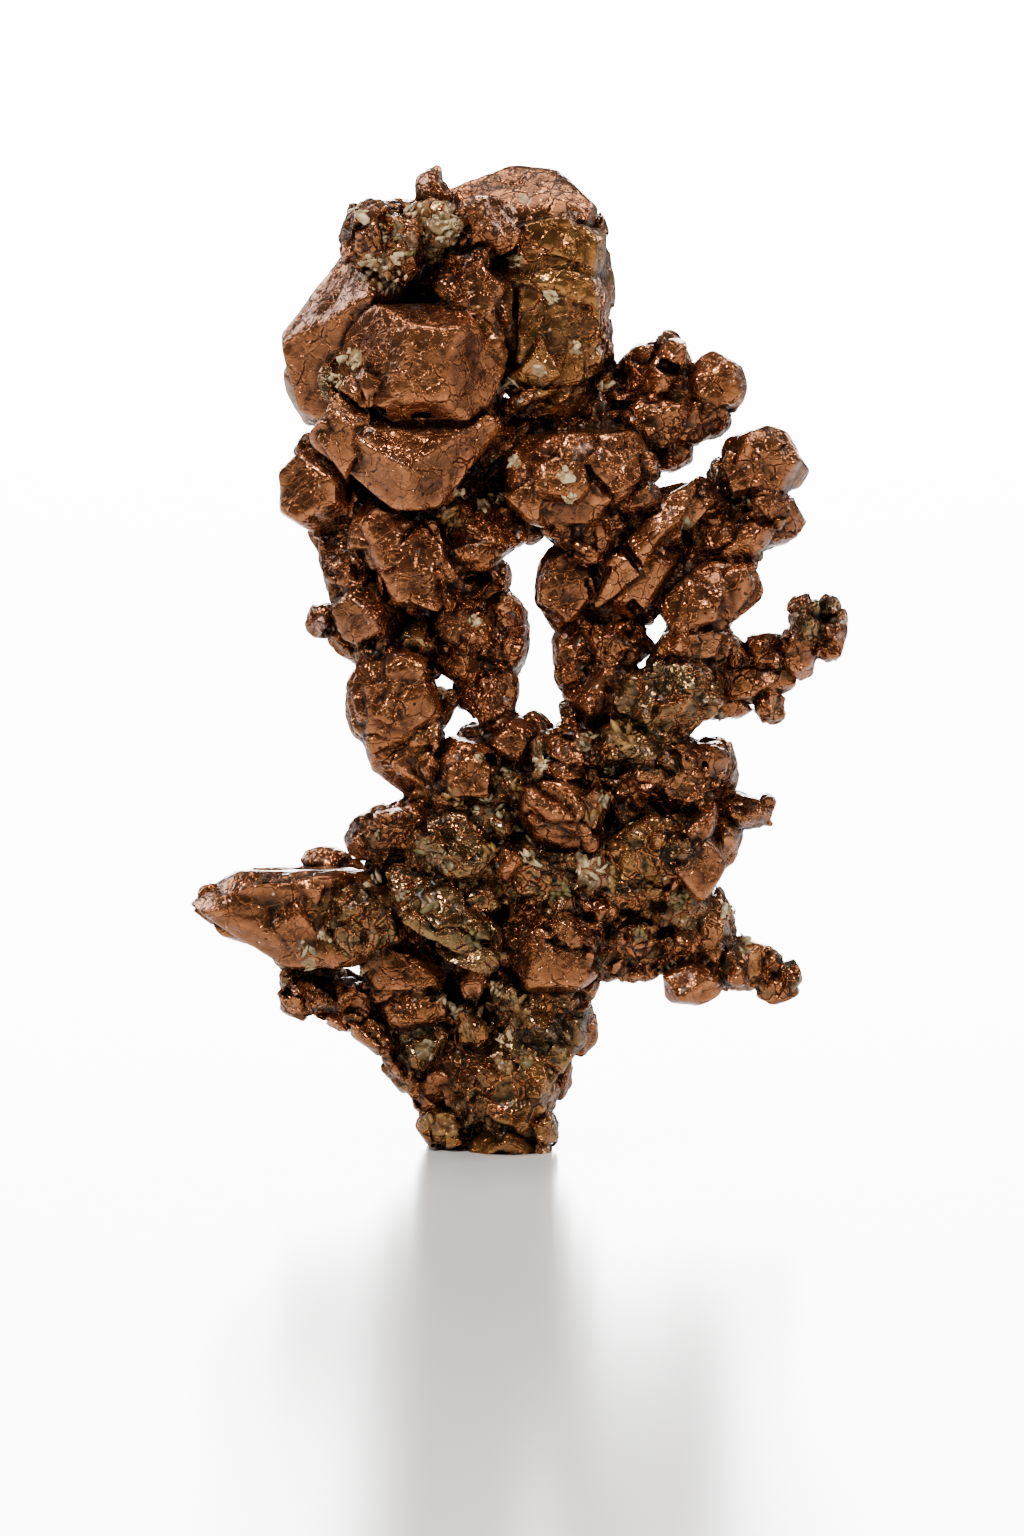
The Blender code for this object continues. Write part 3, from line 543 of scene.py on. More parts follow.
# ------------------------------------------------------- the distance field
rows = [line.split() for line in CRYSTALS.strip().splitlines()]
warp = [0.65 * grid_noise(4.6, 11 + a) + 0.35 * grid_noise(1.9, 21 + a) for a in range(3)]
first = np.full(SHAPE, CLEAR, np.float32)     # nearest crystal
second = np.full(SHAPE, CLEAR, np.float32)    # and the next
owner = np.zeros(SHAPE, np.int16)
for index, row in enumerate(rows):
    u, v, depth, a, b, c, roll = (float(x) for x in row[1:8])
    habit = int(row[8])
    centre = place(u, v, depth * DEPTH_SCALE * UNIT)
    a, b, c = a * UNIT, b * UNIT, c * DEPTH_SCALE * UNIT
    r = math.radians(roll)
    # unit sphere to the world: columns are the crystal's own axes
    axes = np.array([[math.cos(r), 0, -math.sin(r)], [0, 1, 0], [math.sin(r), 0, math.cos(r)]])
    n, off = flats(index, habit)
    real = (n / np.array((a, c, b))) @ axes.T
    size = np.linalg.norm(real, axis=1)
    real, off = real / size[:, None], off / size
    own = own_flats(row)
    if not len(own):
        # the broad faces look to the front and to the back
        off = off * (1 - 0.20 * np.clip((np.abs(real[:, 1]) - 0.35) / 0.45, 0, 1))
    if len(own):
        off = off + 0.06 / size
        real = np.vstack([real, own[:, :3]])
        off = np.concatenate([off, own[:, 3]])
    span = np.abs(axes) @ np.array((a, c, b)) * 1.08 + CLEAR - 0.3
    lo = np.maximum(np.floor((centre - span - LOW) / STEP).astype(int), 0)
    hi = np.minimum(np.ceil((centre + span - LOW) / STEP).astype(int) + 1, SHAPE)
    part = tuple(slice(lo[k], hi[k]) for k in range(3))
    strength = (0.09, 0.34, 0.52)[habit]
    g = [AXES[k][part[k]] - np.float32(centre[k]) for k in range(3)]
    x = g[0][:, None, None] + strength * warp[0][part]
    y = g[1][None, :, None] + strength * warp[1][part]
    z = g[2][None, None, :] + strength * warp[2][part]
    soft = np.float32((0.13, 0.11, 0.09)[habit])
    total = np.zeros(x.shape, np.float32)
    for m, o in zip(real.astype(np.float32), off.astype(np.float32)):
        total += np.exp(np.minimum((x * m[0] + y * m[1] + z * m[2] - o) / soft, 30.0))
    d = soft * np.log(total + 1e-12)
    lx = (x * axes[0, 0] + z * axes[2, 0]) / a
    lz = (x * axes[0, 2] + z * axes[2, 2]) / b
    ly = y / c
    d = np.maximum(d, (np.sqrt(lx * lx + ly * ly + lz * lz) - (1.16, 1.12, 1.10)[habit]) * min(a, b, c))
    # what grows on it stands proud of it
    d += np.float32((0.02, 0.10, 0.22)[habit])
    f1, f2, ow = first[part], second[part], owner[part]
    nearer = d < f1
    second[part] = np.where(nearer, f1, np.minimum(f2, d))
    owner[part] = np.where(nearer, index, ow)
    first[part] = np.where(nearer, d, f1)
habits = np.array([int(r[8]) for r in rows], np.float32)
# Copper fills the narrow gaps between neighbours, and leaves a crack there.
top = owner < np.int16(sum(r[0] == "head" for r in rows))
full = box_blur((first < 0).astype(np.float32), 4, 2)
filled = (0.60 - full) / 0.370
full = box_blur((first < 0).astype(np.float32), 1, 2)
filled = np.where(top, np.where(full > 0, (0.66 - full) / np.float32(1.11), np.float32(CLEAR)), filled)
field = np.minimum(first, filled)
# the head's large crystals stay further apart
join = np.exp(-((second - first) / np.where(top, np.float32(0.26), np.float32(0.18))) ** 2)
join *= second < 1.6
field = (field + np.where(top, np.float32(0.50), np.float32(0.34)) * join).astype(np.float32)
del second, full, filled, top

# Deep gaps that stayed open between the crystals: u, v, half width, half
# height, roll, depth in mm.
HOLLOWS = """
438 294 21  8   3 4.5
440 950 40 13 -38 5.0
462 972 14 10   0 4.0
508 897 32  9  10 4.5
487 1008 6 22  -8 3.0
455 1020 8  8   0 2.5
312 984 34  9 -10 3.5
372 1016 26 4 -30 2.2
625 824 62  5  12 3.0
548 848 26  4  -8 2.4
606 924 26  7 -14 3.0
655 932 22  8   0 2.6
706 764 13  9 -20 2.5
667 365 12  8 -20 2.6
624 386  9  8  40 2.4
618 407 26  6   2 3.5
560 411 28  6  -2 3.5
590 572  8 22 -10 3.0
632 556  6 40  33 2.6
687 536  5 12   0 2.4
470 580 22 11  20 3.5
386 582  5 20   4 2.6
368 504 18  6 -24 2.6
428 662  8 18 -10 3.0
522 770 11 12   0 3.0
492 760  7  6   0 2.5
478 492 16  9  30 2.2
420 506 30  4  -4 1.8
436 702 16  8 -30 2.6
424 928 12  5 -40 3.0
640 612  6 16  40 2.4
590 640  4 20  10 2.0
560 926 30  4  -8 2.2
350 868 14  4   0 2.0
378 872 12  4   0 2.0
612 310  3 10   0 1.5
592 334  4 10   0 1.6
382 408 10  4 -30 1.6
420 414 12  4   6 1.6
"""
# These go right through.
OPENINGS = """
465 717  9 10  20 30
660 620  5 18  36 30
678 476 16  6  38 30
716 893  5  8   0 30
380 882 12  4   0 30
404 916  3  3   0 30
322 1112 3  3   0 30
"""
for line_ in (HOLLOWS + OPENINGS.lstrip()).strip().splitlines():
    su, sv, du, dv, roll, deep_ = (float(x) for x in line_.split())
    spot = place(su, sv, 0.0)
    i, k = (int(round((spot[q] - LOW[q]) / STEP)) for q in (0, 2))
    col = np.flatnonzero(field[i, :, k] < 0)
    if not len(col):
        continue
    y0 = AXES[1][col[0]]
    spot = place(su, sv, float(y0))
    r = math.radians(roll)
    reach = max(du, dv) * UNIT + 1.2
    lo = np.maximum(np.floor((spot - (reach, deep_ + 3.2, reach) - LOW) / STEP).astype(int), 0)
    hi = np.minimum(np.ceil((spot + (reach, deep_ + 1.2, reach) - LOW) / STEP).astype(int) + 1, SHAPE)
    part = tuple(slice(lo[q], hi[q]) for q in range(3))
    gx = (AXES[0][part[0]] - spot[0])[:, None, None] + 0.45 * warp[0][part]
    gy = (AXES[1][part[1]] - spot[1])[None, :, None] + 0.45 * warp[1][part]
    gz = (AXES[2][part[2]] - spot[2])[None, None, :] + 0.45 * warp[2][part]
    ax = (gx * math.cos(r) + gz * math.sin(r)) / (du * UNIT)
    az = (gz * math.cos(r) - gx * math.sin(r)) / (dv * UNIT)
    ay = np.where(gy > 0, gy / deep_, gy / 3.2)
    ball = (1 - np.sqrt(np.sqrt(ax ** 4 + az ** 4) + ay ** 2)) * min(du, dv) * UNIT
    field[part] = np.maximum(field[part], ball.astype(np.float32))

# -------------------------------------------------- plates grown on crystals
# Small flat crystals lie on and stick out of the rough and hackly crystals,
# smaller and steeper on hackly ones; smooth ones get none.  A few are gone
# and leave the flat-sided hollow they grew in.
skin_at = np.flatnonzero((np.abs(field) < 0.5 * STEP).ravel())
rng = np.random.RandomState(301)
keen = np.array((0.0, 0.15, 0.30))[habits[owner.ravel()[skin_at]].astype(int)]
odds = keen * STEP * STEP * 0.62
seat = skin_at[rng.uniform(size=len(skin_at)) < odds]
seat = seat[rng.permutation(len(seat))]
sj = np.unravel_index(seat, SHAPE)
slope = []
for axis in range(3):
    up_, dn_ = [q.copy() for q in sj], [q.copy() for q in sj]
    up_[axis] = np.minimum(up_[axis] + 2, SHAPE[axis] - 1)
    dn_[axis] = np.maximum(dn_[axis] - 2, 0)
    slope.append(field[tuple(up_)] - field[tuple(dn_)])
slope = np.stack(slope, 1)
slope /= np.maximum(np.linalg.norm(slope, axis=1), 1e-6)[:, None]
crease = np.full(SHAPE, CLEAR, np.float32)
shard_no = np.zeros(SHAPE, np.int32)
base_field = field.copy()
within = (base_field < 0).any(axis=1).astype(np.float32)[:, None, :]
for axis in (0, 2):
    within = sum(np.roll(within, q, axis) for q in range(-4, 5)) / 9
within = np.clip(2 * within - 1, 0, 1).astype(np.float32)
for number, (i, j, k) in enumerate(zip(*sj), 1):
    kind = int(habits[owner[i, j, k]])
    n = slope[number - 1]
    tilt = (0.05, 0.18, 0.32)[kind]
    z = n + rng.normal(size=3) * tilt
    z /= np.linalg.norm(z)
    x = np.cross(z, rng.normal(size=3))
    x /= np.linalg.norm(x)
    y = np.cross(z, x)
    a = rng.uniform(*((1.2, 3.0), (1.1, 3.1), (0.7, 2.0))[kind])
    b = a * rng.uniform(0.55, 1.0)
    c = rng.uniform(*((0.25, 0.50), (0.30, 0.70), (0.25, 0.60))[kind])
    proud = rng.uniform(*((0.05, 0.15), (0.06, 0.28), (0.08, 0.34))[kind])
    centre = np.array([AXES[0][i], AXES[1][j], AXES[2][k]]) + n * (proud - c)
    m = rng.randint(4, 7)
    turn_ = rng.uniform(0, 2 * np.pi) + np.arange(m) * 2 * np.pi / m + rng.normal(size=m) * 0.20
    lean_ = rng.normal(size=m) * 0.30 + 0.15
    ring_ = (np.cos(turn_)[:, None] * x + np.sin(turn_)[:, None] * y) * np.cos(lean_)[:, None] \
        + np.sin(lean_)[:, None] * z
    away = rng.uniform(0.70, 1.0, m) * np.hypot(a * np.cos(turn_), b * np.sin(turn_))
    faces_ = np.vstack([ring_, [z, -z], [z + 0.35 * x * rng.choice((-1, 1))]])
    faces_[-1] /= np.linalg.norm(faces_[-1])
    away = np.concatenate([away, [c, c * 1.4], [c * rng.uniform(0.95, 1.2) + 0.12 * a]])
    reach = 1.25 * a + 0.75
    lo = np.maximum(np.floor((centre - reach - LOW) / STEP).astype(int), 0)
    hi = np.minimum(np.ceil((centre + reach - LOW) / STEP).astype(int) + 1, SHAPE)
    part = tuple(slice(lo[q], hi[q]) for q in range(3))
    g = [AXES[q][part[q]] - np.float32(centre[q]) for q in range(3)]
    wob = 0.12 + 0.10 * kind
    gx = g[0][:, None, None] + wob * warp[0][part]
    gy = g[1][None, :, None] + wob * warp[1][part]
    gz = g[2][None, None, :] + wob * warp[2][part]
    d = None
    for q, o in zip(faces_.astype(np.float32), away):
        e_ = gx * q[0] + gy * q[1] + gz * q[2] - np.float32(o)
        d = e_ if d is None else np.maximum(d, e_)
    f = field[part]
    inner = within[part[0], :, part[2]]
    d = np.maximum(d, base_field[part] - (0.12 + inner * np.float32((0.2, 0.50, 0.60)[kind])))
    if kind and rng.uniform() < 0.10:
        # a hollow: the plate's own shape, taken out
        np.maximum(f, -(d + 0.10), out=f)
        continue
    gap = np.abs(d - f)
    crease[part] = np.where(np.maximum(d, f) < 0.45, np.minimum(crease[part], gap), crease[part])
    over = d < f
    sn = shard_no[part]
    sn[over] = number
    f[over] = d[over]
    crease[part] = np.where(over, gap, crease[part])
print("plates", len(seat))

# Large leaves and flats that can be told apart on the front: u, v, half
# length, half width, roll, turned right, tipped up, thickness and height in
# mm.
LEAVES = """
480 302 52 19 -72 -18   6 1.2 0.7
452 277 22 14  20 -30   0 0.8 0.5
340 431 33 15 -78 -24   0 0.5 0.6
376 388 17 12 -20  -6  -6 0.4 0.5
546 278 46 11 -18   6  34 0.8 0.8
590 404 24  9  10   0  24 0.4 0.7
545 398 38  7  12   0  30 0.4 0.6
556 330 34 40  86   0  -4 0.6 0.5
534 376 24 14  30 -10 -20 0.6 0.5
586 356 16 26  -6  14   0 0.6 0.5
556 238 30 18 -14   4  10 0.8 0.5
372 530 22 13  84 -20   0 0.6 0.8
415 572 30 29   0   0   0 0.6 0.4
420 591 21 12   4   0   0 0.4 0.5
405 669 20 12 -16   0   6 0.4 0.5
400 701 31 20 -14   0   0 0.6 0.4
360 720 26 20 -60 -30   0 0.6 0.4
438 705 14 18 -20  20   0 0.6 0.4
455 625 26 14 -70 -20   0 0.6 0.6
488 660 26 18 -60  20   0 0.6 0.5
467 778 23 22   0   0   0 0.8 0.5
396 815 25 13  10   0  10 0.6 0.5
445 819 24 12  -6   0  10 0.6 0.5
648 850 30 22  10   0   0 0.8 0.5
588 812 24 12  60  16   0 0.6 0.4
286 899 50 18   2   0  -8 0.8 0.4
286 878 46  6   1   0  50 0.6 0.4
300 936 24 14 -30   0 -20 0.6 0.4
690 512 22 12  30   0   0 0.8 0.5
767 442 19  9  -4   0  40 0.6 0.5
752 470 26 18   0   0   0 0.6 0.4
735 590 22 14  50   0   0 0.6 0.5
700 608 24 18  30 -20   0 0.6 0.4
558 582 22 38  86   0   0 0.6 0.5
640 690 24 14  30   0   0 0.8 0.5
560 480 30 18   0   0  16 0.8 0.6
610 470 24 16 -40   0  10 0.6 0.5
530 500 20 14  60 -20   0 0.6 0.5
535 1044 38 40   4   0   0 0.8 0.4
500 1090 22 34   4   0   0 0.6 0.4
398 972 34 20 -10   0  10 0.8 0.5
455 1075 34 10  76 -10   0 0.6 0.5
476 952 30  4 -20   0  30 0.4 0.6
345 866 24  6  -6   0  40 0.4 0.4
"""
number = len(seat)
for line_ in LEAVES.strip().splitlines():
    number += 1
    su, sv, a, b, roll, yaw, pitch, c, proud = (float(x) for x in line_.split())
    a, b, c = a * UNIT, b * UNIT, 0.5 * c
    spot = place(su, sv, 0.0)
    i, k = (int(round((spot[q] - LOW[q]) / STEP)) for q in (0, 2))
    col = np.flatnonzero(base_field[i, :, k] < 0)
    if not len(col):
        print("no copper under", line_)
        continue
    spot = place(su, sv, float(AXES[1][col[0]]))
    yaw, pitch, roll = math.radians(yaw), math.radians(pitch), math.radians(roll)
    z = np.array([math.sin(yaw) * math.cos(pitch), -math.cos(yaw) * math.cos(pitch), math.sin(pitch)])
    x = np.array([math.cos(roll), 0.0, math.sin(roll)])
    x -= z * (x @ z)
    x /= np.linalg.norm(x)
    y = np.cross(z, x)
    centre = spot + z * (proud - c)
    m = rng.randint(4, 7)
    turn_ = rng.uniform(0, 2 * np.pi) + np.arange(m) * 2 * np.pi / m + rng.normal(size=m) * 0.20
    lean_ = rng.normal(size=m) * 0.28 + 0.25
    ring_ = (np.cos(turn_)[:, None] * x + np.sin(turn_)[:, None] * y) * np.cos(lean_)[:, None] \
        + np.sin(lean_)[:, None] * z
    away = rng.uniform(0.78, 1.02, m) * np.hypot(a * np.cos(turn_), b * np.sin(turn_))
    tips = [z, -z]
    for q in range(3):
        t_ = z + rng.normal() * 0.10 * x + rng.normal() * 0.16 * y
        tips.append(t_ / np.linalg.norm(t_))
    faces_ = np.vstack([ring_, tips])
    away = np.concatenate([away, [c, c + 1.2], c * rng.uniform(0.95, 1.05, 3) + 0.03])
    reach = 1.3 * a + 1.0
    lo = np.maximum(np.floor((centre - reach - LOW) / STEP).astype(int), 0)
    hi = np.minimum(np.ceil((centre + reach - LOW) / STEP).astype(int) + 1, SHAPE)
    part = tuple(slice(lo[q], hi[q]) for q in range(3))
    g = [AXES[q][part[q]] - np.float32(centre[q]) for q in range(3)]
    gx = g[0][:, None, None] + 0.22 * warp[0][part]
    gy = g[1][None, :, None] + 0.22 * warp[1][part]
    gz = g[2][None, None, :] + 0.22 * warp[2][part]
    d = None
    for q, o in zip(faces_.astype(np.float32), away):
        e_ = gx * q[0] + gy * q[1] + gz * q[2] - np.float32(o)
        d = e_ if d is None else np.maximum(d, e_)
    d = np.maximum(d, base_field[part] - (0.10 + within[part[0], :, part[2]] * np.float32(0.9)))
    f = field[part]
    gap = np.abs(d - f)
    crease[part] = np.where(np.maximum(d, f) < 0.45, np.minimum(crease[part], gap), crease[part])
    over = d < f
    sn = shard_no[part]
    sn[over] = number
    f[over] = d[over]
    crease[part] = np.where(over, gap, crease[part])
thin = np.exp(-(crease / 0.20) ** 2)
field += (0.09 * thin).astype(np.float32)

# ---------------------------------------------------- plates, cracks, grains
near = np.flatnonzero((np.abs(field) < BAND).ravel())
ijk = np.unravel_index(near, SHAPE)
P = np.stack([AXES[k][ijk[k]] for k in range(3)], 1)
own = owner.ravel()[near]
habit = habits[own]
bend = np.stack([w.ravel()[near] for w in warp], 1)
fine = np.stack([point_noise(P, 0.9, 40 + k) for k in range(3)], 1)
turn = np.random.RandomState(5).uniform(-1, 1, (len(rows), 3)).astype(np.float32) * 40
Q = P + 0.9 * bend + 0.12 * fine

# large plates
h1, g1, id1 = shingles(Q, 3.5, 61, 0.42, 3.0, 0.9, (1.0, 0.8, 1.15))
# smaller plates
h2, g2, id2 = shingles(Q + 0.15 * fine, 1.7, 62, 0.40, 2.6, 1.1, (1.0, 0.9, 1.3))
# hackly grain
h3, g3, id3 = shingles(Q + 0.3 * fine, 0.95, 63, 0.42, 2.2, 1.0)
rough = np.clip(0.5 + 0.9 * point_noise(P, 7.0, 71), 0, 1)
kinds = habit.astype(int)
big = np.choose(kinds, (0.12, 0.12, 0.14))
mid = np.choose(kinds, (0.030, 0.06, 0.12)) * (0.6 + 0.8 * rough)
small = np.choose(kinds, (0.0, 0.0, 0.06)) * (0.5 + rough)
push = big * np.clip(h1, -1.2, 1.2) + mid * np.clip(h2, -1.2, 1.2) + small * np.clip(h3, -1.2, 1.2)
# the skin is crumpled: sharp folds outwards and inwards
Q2 = P + 1.1 * bend + 0.35 * fine
fold1 = 0.42 - np.abs(point_noise(Q2 * np.array((1.0, 0.9, 0.8), np.float32) + 40, 2.6, 91))
fold2 = np.abs(point_noise(Q2 + 60, 1.9, 92)) - 0.32
fold3 = 0.42 - np.abs(point_noise(Q2 + 80, 1.05, 93))
push += (np.choose(kinds, (0.09, 0.10, 0.10)) * fold1 + np.choose(kinds, (0.05, 0.05, 0.08)) * fold2
         + np.choose(kinds, (0.01, 0.02, 0.07)) * fold3)
# cracks open between plates
crack = (np.choose(kinds, (0.05, 0.12, 0.12)) * np.exp(-(g1 / 0.13) ** 2)
         + np.choose(kinds, (0.0, 0.06, 0.08)) * np.exp(-(g2 / 0.16) ** 2))
push -= crack
push += 0.05 * point_noise(P, 2.6, 72)
push = np.clip(push, -0.75, 0.72).astype(np.float32)
flat = field.ravel()
flat[near] -= push
field = flat.reshape(SHAPE)
rim = np.zeros(SHAPE, np.float32)
rim.ravel()[near] = np.exp(-((g1 - 0.42) / 0.22) ** 2) * (h1 > -0.2) * 0.7 + np.exp(-((g2 - 0.5) / 0.25) ** 2) * 0.3 * (h2 > 0)
line = np.zeros(SHAPE, np.float32)
line.ravel()[near] = np.maximum(np.exp(-(g1 / 0.13) ** 2) * (habit > 0),
                                0.8 * np.exp(-(g2 / 0.15) ** 2) * (habit > 0))
line = np.maximum(np.maximum(0.7 * line, 0.9 * thin), join)
plate = np.zeros(SHAPE, np.float32)
shade_of = np.random.RandomState(302).uniform(0, 1, number + 1).astype(np.float32)
plate.ravel()[near] = 0.42 * id1 + 0.22 * id2 + 0.36 * shade_of[shard_no.ravel()[near]]
del thin, crease, join

# the broken foot is flat
field = np.maximum(field, -AXES[2][None, None, :])
solid = field < 0

# ----------------------------------------------------------- branch numbers
names = list(BRANCHES)
cx, cz = np.meshgrid(AXES[0], AXES[2], indexing="ij")
branch = np.zeros(cx.shape, np.int8)
for number, name in enumerate(names, 1):
    pts = np.array([place(*CORNERS[k], 0.0) for k in BRANCHES[name].split()])[:, (0, 2)]
    inside = np.zeros(cx.shape, bool)
    for (x0, z0), (x1, z1) in zip(pts, np.roll(pts, -1, axis=0)):
        if z0 == z1:
            continue
        cross = ((z0 > cz) != (z1 > cz)) & (cx < (x1 - x0) * (cz - z0) / (z1 - z0) + x0)
        inside ^= cross
    branch[inside & (branch == 0)] = number
branch[branch == 0] = names.index("core") + 1
label = np.where(solid, branch[:, None, :], 0).astype(np.int8)


# ------------------------------------------------------------ surface net
def surface_net(label, field):
    """Closed meshes, one per label, that share their common vertices."""
    grad = np.gradient(field, STEP)
    grad = [g.astype(np.float32) for g in grad]
    cells = tuple(s - 1 for s in SHAPE)
    cubes, pts, nrm, ext, quads, sides = [], [], [], [], [], []
    step = np.array(SHAPE[1:] + (1,))
    for axis in range(3):
        lo = [slice(None)] * 3
        hi = [slice(None)] * 3
        lo[axis] = slice(0, -1)
        hi[axis] = slice(1, None)
        la, lb = label[tuple(lo)], label[tuple(hi)]
        i, j, k = np.nonzero(la != lb)
        b1, b2 = [(1, 2), (2, 0), (0, 1)][axis]
        idx = [i, j, k]
        keep = (idx[b1] > 0) & (idx[b2] > 0) & (idx[b1] < cells[b1]) & (idx[b2] < cells[b2])
        i, j, k = i[keep], j[keep], k[keep]
        idx = [i, j, k]
        sa, sb = la[i, j, k], lb[i, j, k]
        nxt = [i.copy(), j.copy(), k.copy()]
        nxt[axis] = nxt[axis] + 1
        fa, fb = field[i, j, k], field[nxt[0], nxt[1], nxt[2]]
        outside = (sa == 0) | (sb == 0)
        with np.errstate(divide="ignore", invalid="ignore"):
            t = np.where(outside, np.clip(fa / (fa - fb), 0.02, 0.98), 0.5)
        t = np.nan_to_num(t, nan=0.5)
        p = np.stack([AXES[0][i], AXES[1][j], AXES[2][k]], 1).astype(np.float64)
        p[:, axis] += t * STEP
        g = np.stack([(1 - t) * gr[i, j, k] + t * gr[nxt[0], nxt[1], nxt[2]] for gr in grad], 1)
        g /= np.maximum(np.linalg.norm(g, axis=1), 1e-6)[:, None]
        around = []
        for s1, s2 in ((1, 1), (0, 1), (0, 0), (1, 0)):
            c = [i, j, k]
            c = [q.copy() for q in c]
            c[b1] = c[b1] - s1
            c[b2] = c[b2] - s2
            around.append((c[0].astype(np.int64) * cells[1] + c[1]) * cells[2] + c[2])
        # corners in turn round the edge, facing along the axis
        ring = np.stack([around[0], around[1], around[2], around[3]], 1)
        quads.append(ring)
        sides.append(np.stack([sa, sb], 1))
        pts.append(p)
        nrm.append(g)
        ext.append(outside)
    ring = np.concatenate(quads)
    side = np.concatenate(sides)
    p, g, outside = np.concatenate(pts), np.concatenate(nrm), np.concatenate(ext)
    used, inverse = np.unique(ring.ravel(), return_inverse=True)
    ring = inverse.reshape(-1, 4)
    count = len(used)
    rep = np.repeat(np.arange(len(p)), 4)
    cell = ring.ravel()
    e = outside[rep].astype(np.float64)

    def total(values):
        return np.bincount(cell, values, count)
    n_ext, n_all = total(e), total(np.ones_like(e))
    some = n_ext > 0
    mean = np.empty((count, 3))
    for a in range(3):
        m_ext, m_all = total(p[rep, a] * e), total(p[rep, a])
        mean[:, a] = np.where(some, m_ext / np.maximum(n_ext, 1), m_all / n_all)
    # pull each vertex onto its tangent planes, so edges stay crisp
    dist = ((mean[cell] - p[rep]) * g[rep]).sum(1) * e
    A = np.zeros((count, 3, 3))
    rhs = np.zeros((count, 3))
    for a in range(3):
        rhs[:, a] = -total(g[rep, a] * dist)
        for b in range(a, 3):
            A[:, a, b] = A[:, b, a] = total(g[rep, a] * g[rep, b] * e)
    A += np.eye(3) * 0.15
    move = np.linalg.solve(A, rhs[:, :, None])[:, :, 0]
    move = np.clip(move, -0.45 * STEP, 0.45 * STEP)
    vert = mean + move * some[:, None]
    return vert, ring, side


vert, ring, side = surface_net(label, field)
vert[:, 2] = np.maximum(vert[:, 2], 0.0)

# loose crumbs, cut off by the cracks, go
def crumbs(count, ring):
    """For each vertex, the number of the connected shell it belongs to."""
    mark = np.arange(count)
    while True:
        low = mark[ring].min(1)
        new = mark.copy()
        for k in range(4):
            np.minimum.at(new, ring[:, k], low)
        new = new[new]
        if (new == mark).all():
            return mark
        mark = new


outer = (side == 0).any(1)
shell = crumbs(len(vert), ring[outer])
sizes = np.bincount(shell, minlength=len(vert))
main = np.argmax(sizes)
good = shell == main
keep = good[ring].all(1) | ~outer
ring, side = ring[keep], side[keep]

# --------------------------------------------------------- what each vertex is
solid_f = solid.astype(np.float32)
hollow_s = box_blur(solid_f, 2, 2)
hollow_l = box_blur(solid_f, 7, 2)
grad = np.stack([at(g, vert) for g in np.gradient(box_blur(field, 1, 1), STEP)], 1)
grad /= np.maximum(np.linalg.norm(grad, axis=1), 1e-6)[:, None]
cav_s = at(hollow_s, vert + 0.3 * grad)
cav_l = at(hollow_l, vert + 1.2 * grad)
who = nearest(owner, vert - 0.3 * grad)
tone = np.array([TONES.index(r[9]) for r in rows])[who]
v_rim = at(rim, vert)
v_line = at(line, vert)
v_plate = nearest(plate, vert)
v_habit = habits[who]

base = TONE_COLOURS[tone]
# each crystal, each plate and slow drifts of tarnish differ a little
rng = np.random.RandomState(8)
per = rng.uniform(0.70, 1.18, len(rows))[who]
drift = point_noise(vert.astype(np.float32), 6.5, 81)
drift2 = point_noise(vert.astype(np.float32), 1.7, 82)
drift3 = point_noise(vert.astype(np.float32), 3.1, 83)
spread = np.array((0.22, 0.85, 1.0))[v_habit.astype(int)]
value = per * (1 + 0.18 * drift + 0.16 * drift2) * (1 + spread * (v_plate - 0.5))
base = base * value[:, None]


def mix(base, colour, amount):
    amount = np.clip(amount, 0, 1)[:, None]
    return base * (1 - amount) + np.array(colour) * amount


# warm orange where tarnish thins, ochre and olive patches
warmth = np.where((tone == TONES.index("g")) | (tone == TONES.index("m")), 0.15, 1.0)
base = mix(base, (0.130, 0.036, 0.010), 0.50 * np.clip(drift3 * 1.6 - 0.20, 0, 1) * (v_habit > 0) * warmth)
base = mix(base, (0.110, 0.050, 0.013), 0.50 * np.clip(drift * 1.8 - 0.55, 0, 1))
base = mix(base, (0.042, 0.029, 0.013), 0.50 * np.clip(-drift3 * 1.8 - 0.50, 0, 1) * (v_habit > 0))
# the lower half is duller: olive and ochre earth in its roughness
earth = np.clip((46.0 - vert[:, 2]) / 9.0, 0.15, 1) * np.array((0.35, 1.0, 1.0))[v_habit.astype(int)]
dust = point_noise(vert.astype(np.float32), 1.3, 88) + 0.8 * point_noise(vert.astype(np.float32), 4.2, 89)
base = mix(base, (0.036, 0.0275, 0.0115), 0.95 * earth * np.clip(dust * 1.6 + 0.45, 0, 1))
base = mix(base, (0.165, 0.1050, 0.0300), 0.80 * earth * np.clip(-dust * 2.6 - 0.70, 0, 1))
# rims of plates are painted brighter: partly bare copper showing through wear, partly a painted highlight
convex = np.clip((0.385 - cav_s) * 6.5, 0, 1)
rub_and_highlight = np.clip(0.64 * convex + 0.06 * v_rim * (cav_s < 0.5), 0, 1)[:, None]
earthy = np.isin(tone, [TONES.index(t) for t in "gm"])[:, None]
golden = np.isin(tone, [TONES.index(t) for t in "yw"])[:, None]
rub_and_highlight_colour = np.where(earthy, (0.29, 0.170, 0.066),
                  np.where(golden, (0.40, 0.178, 0.050), (0.45, 0.165, 0.060)))
base = base * (1 - rub_and_highlight) + rub_and_highlight_colour * rub_and_highlight
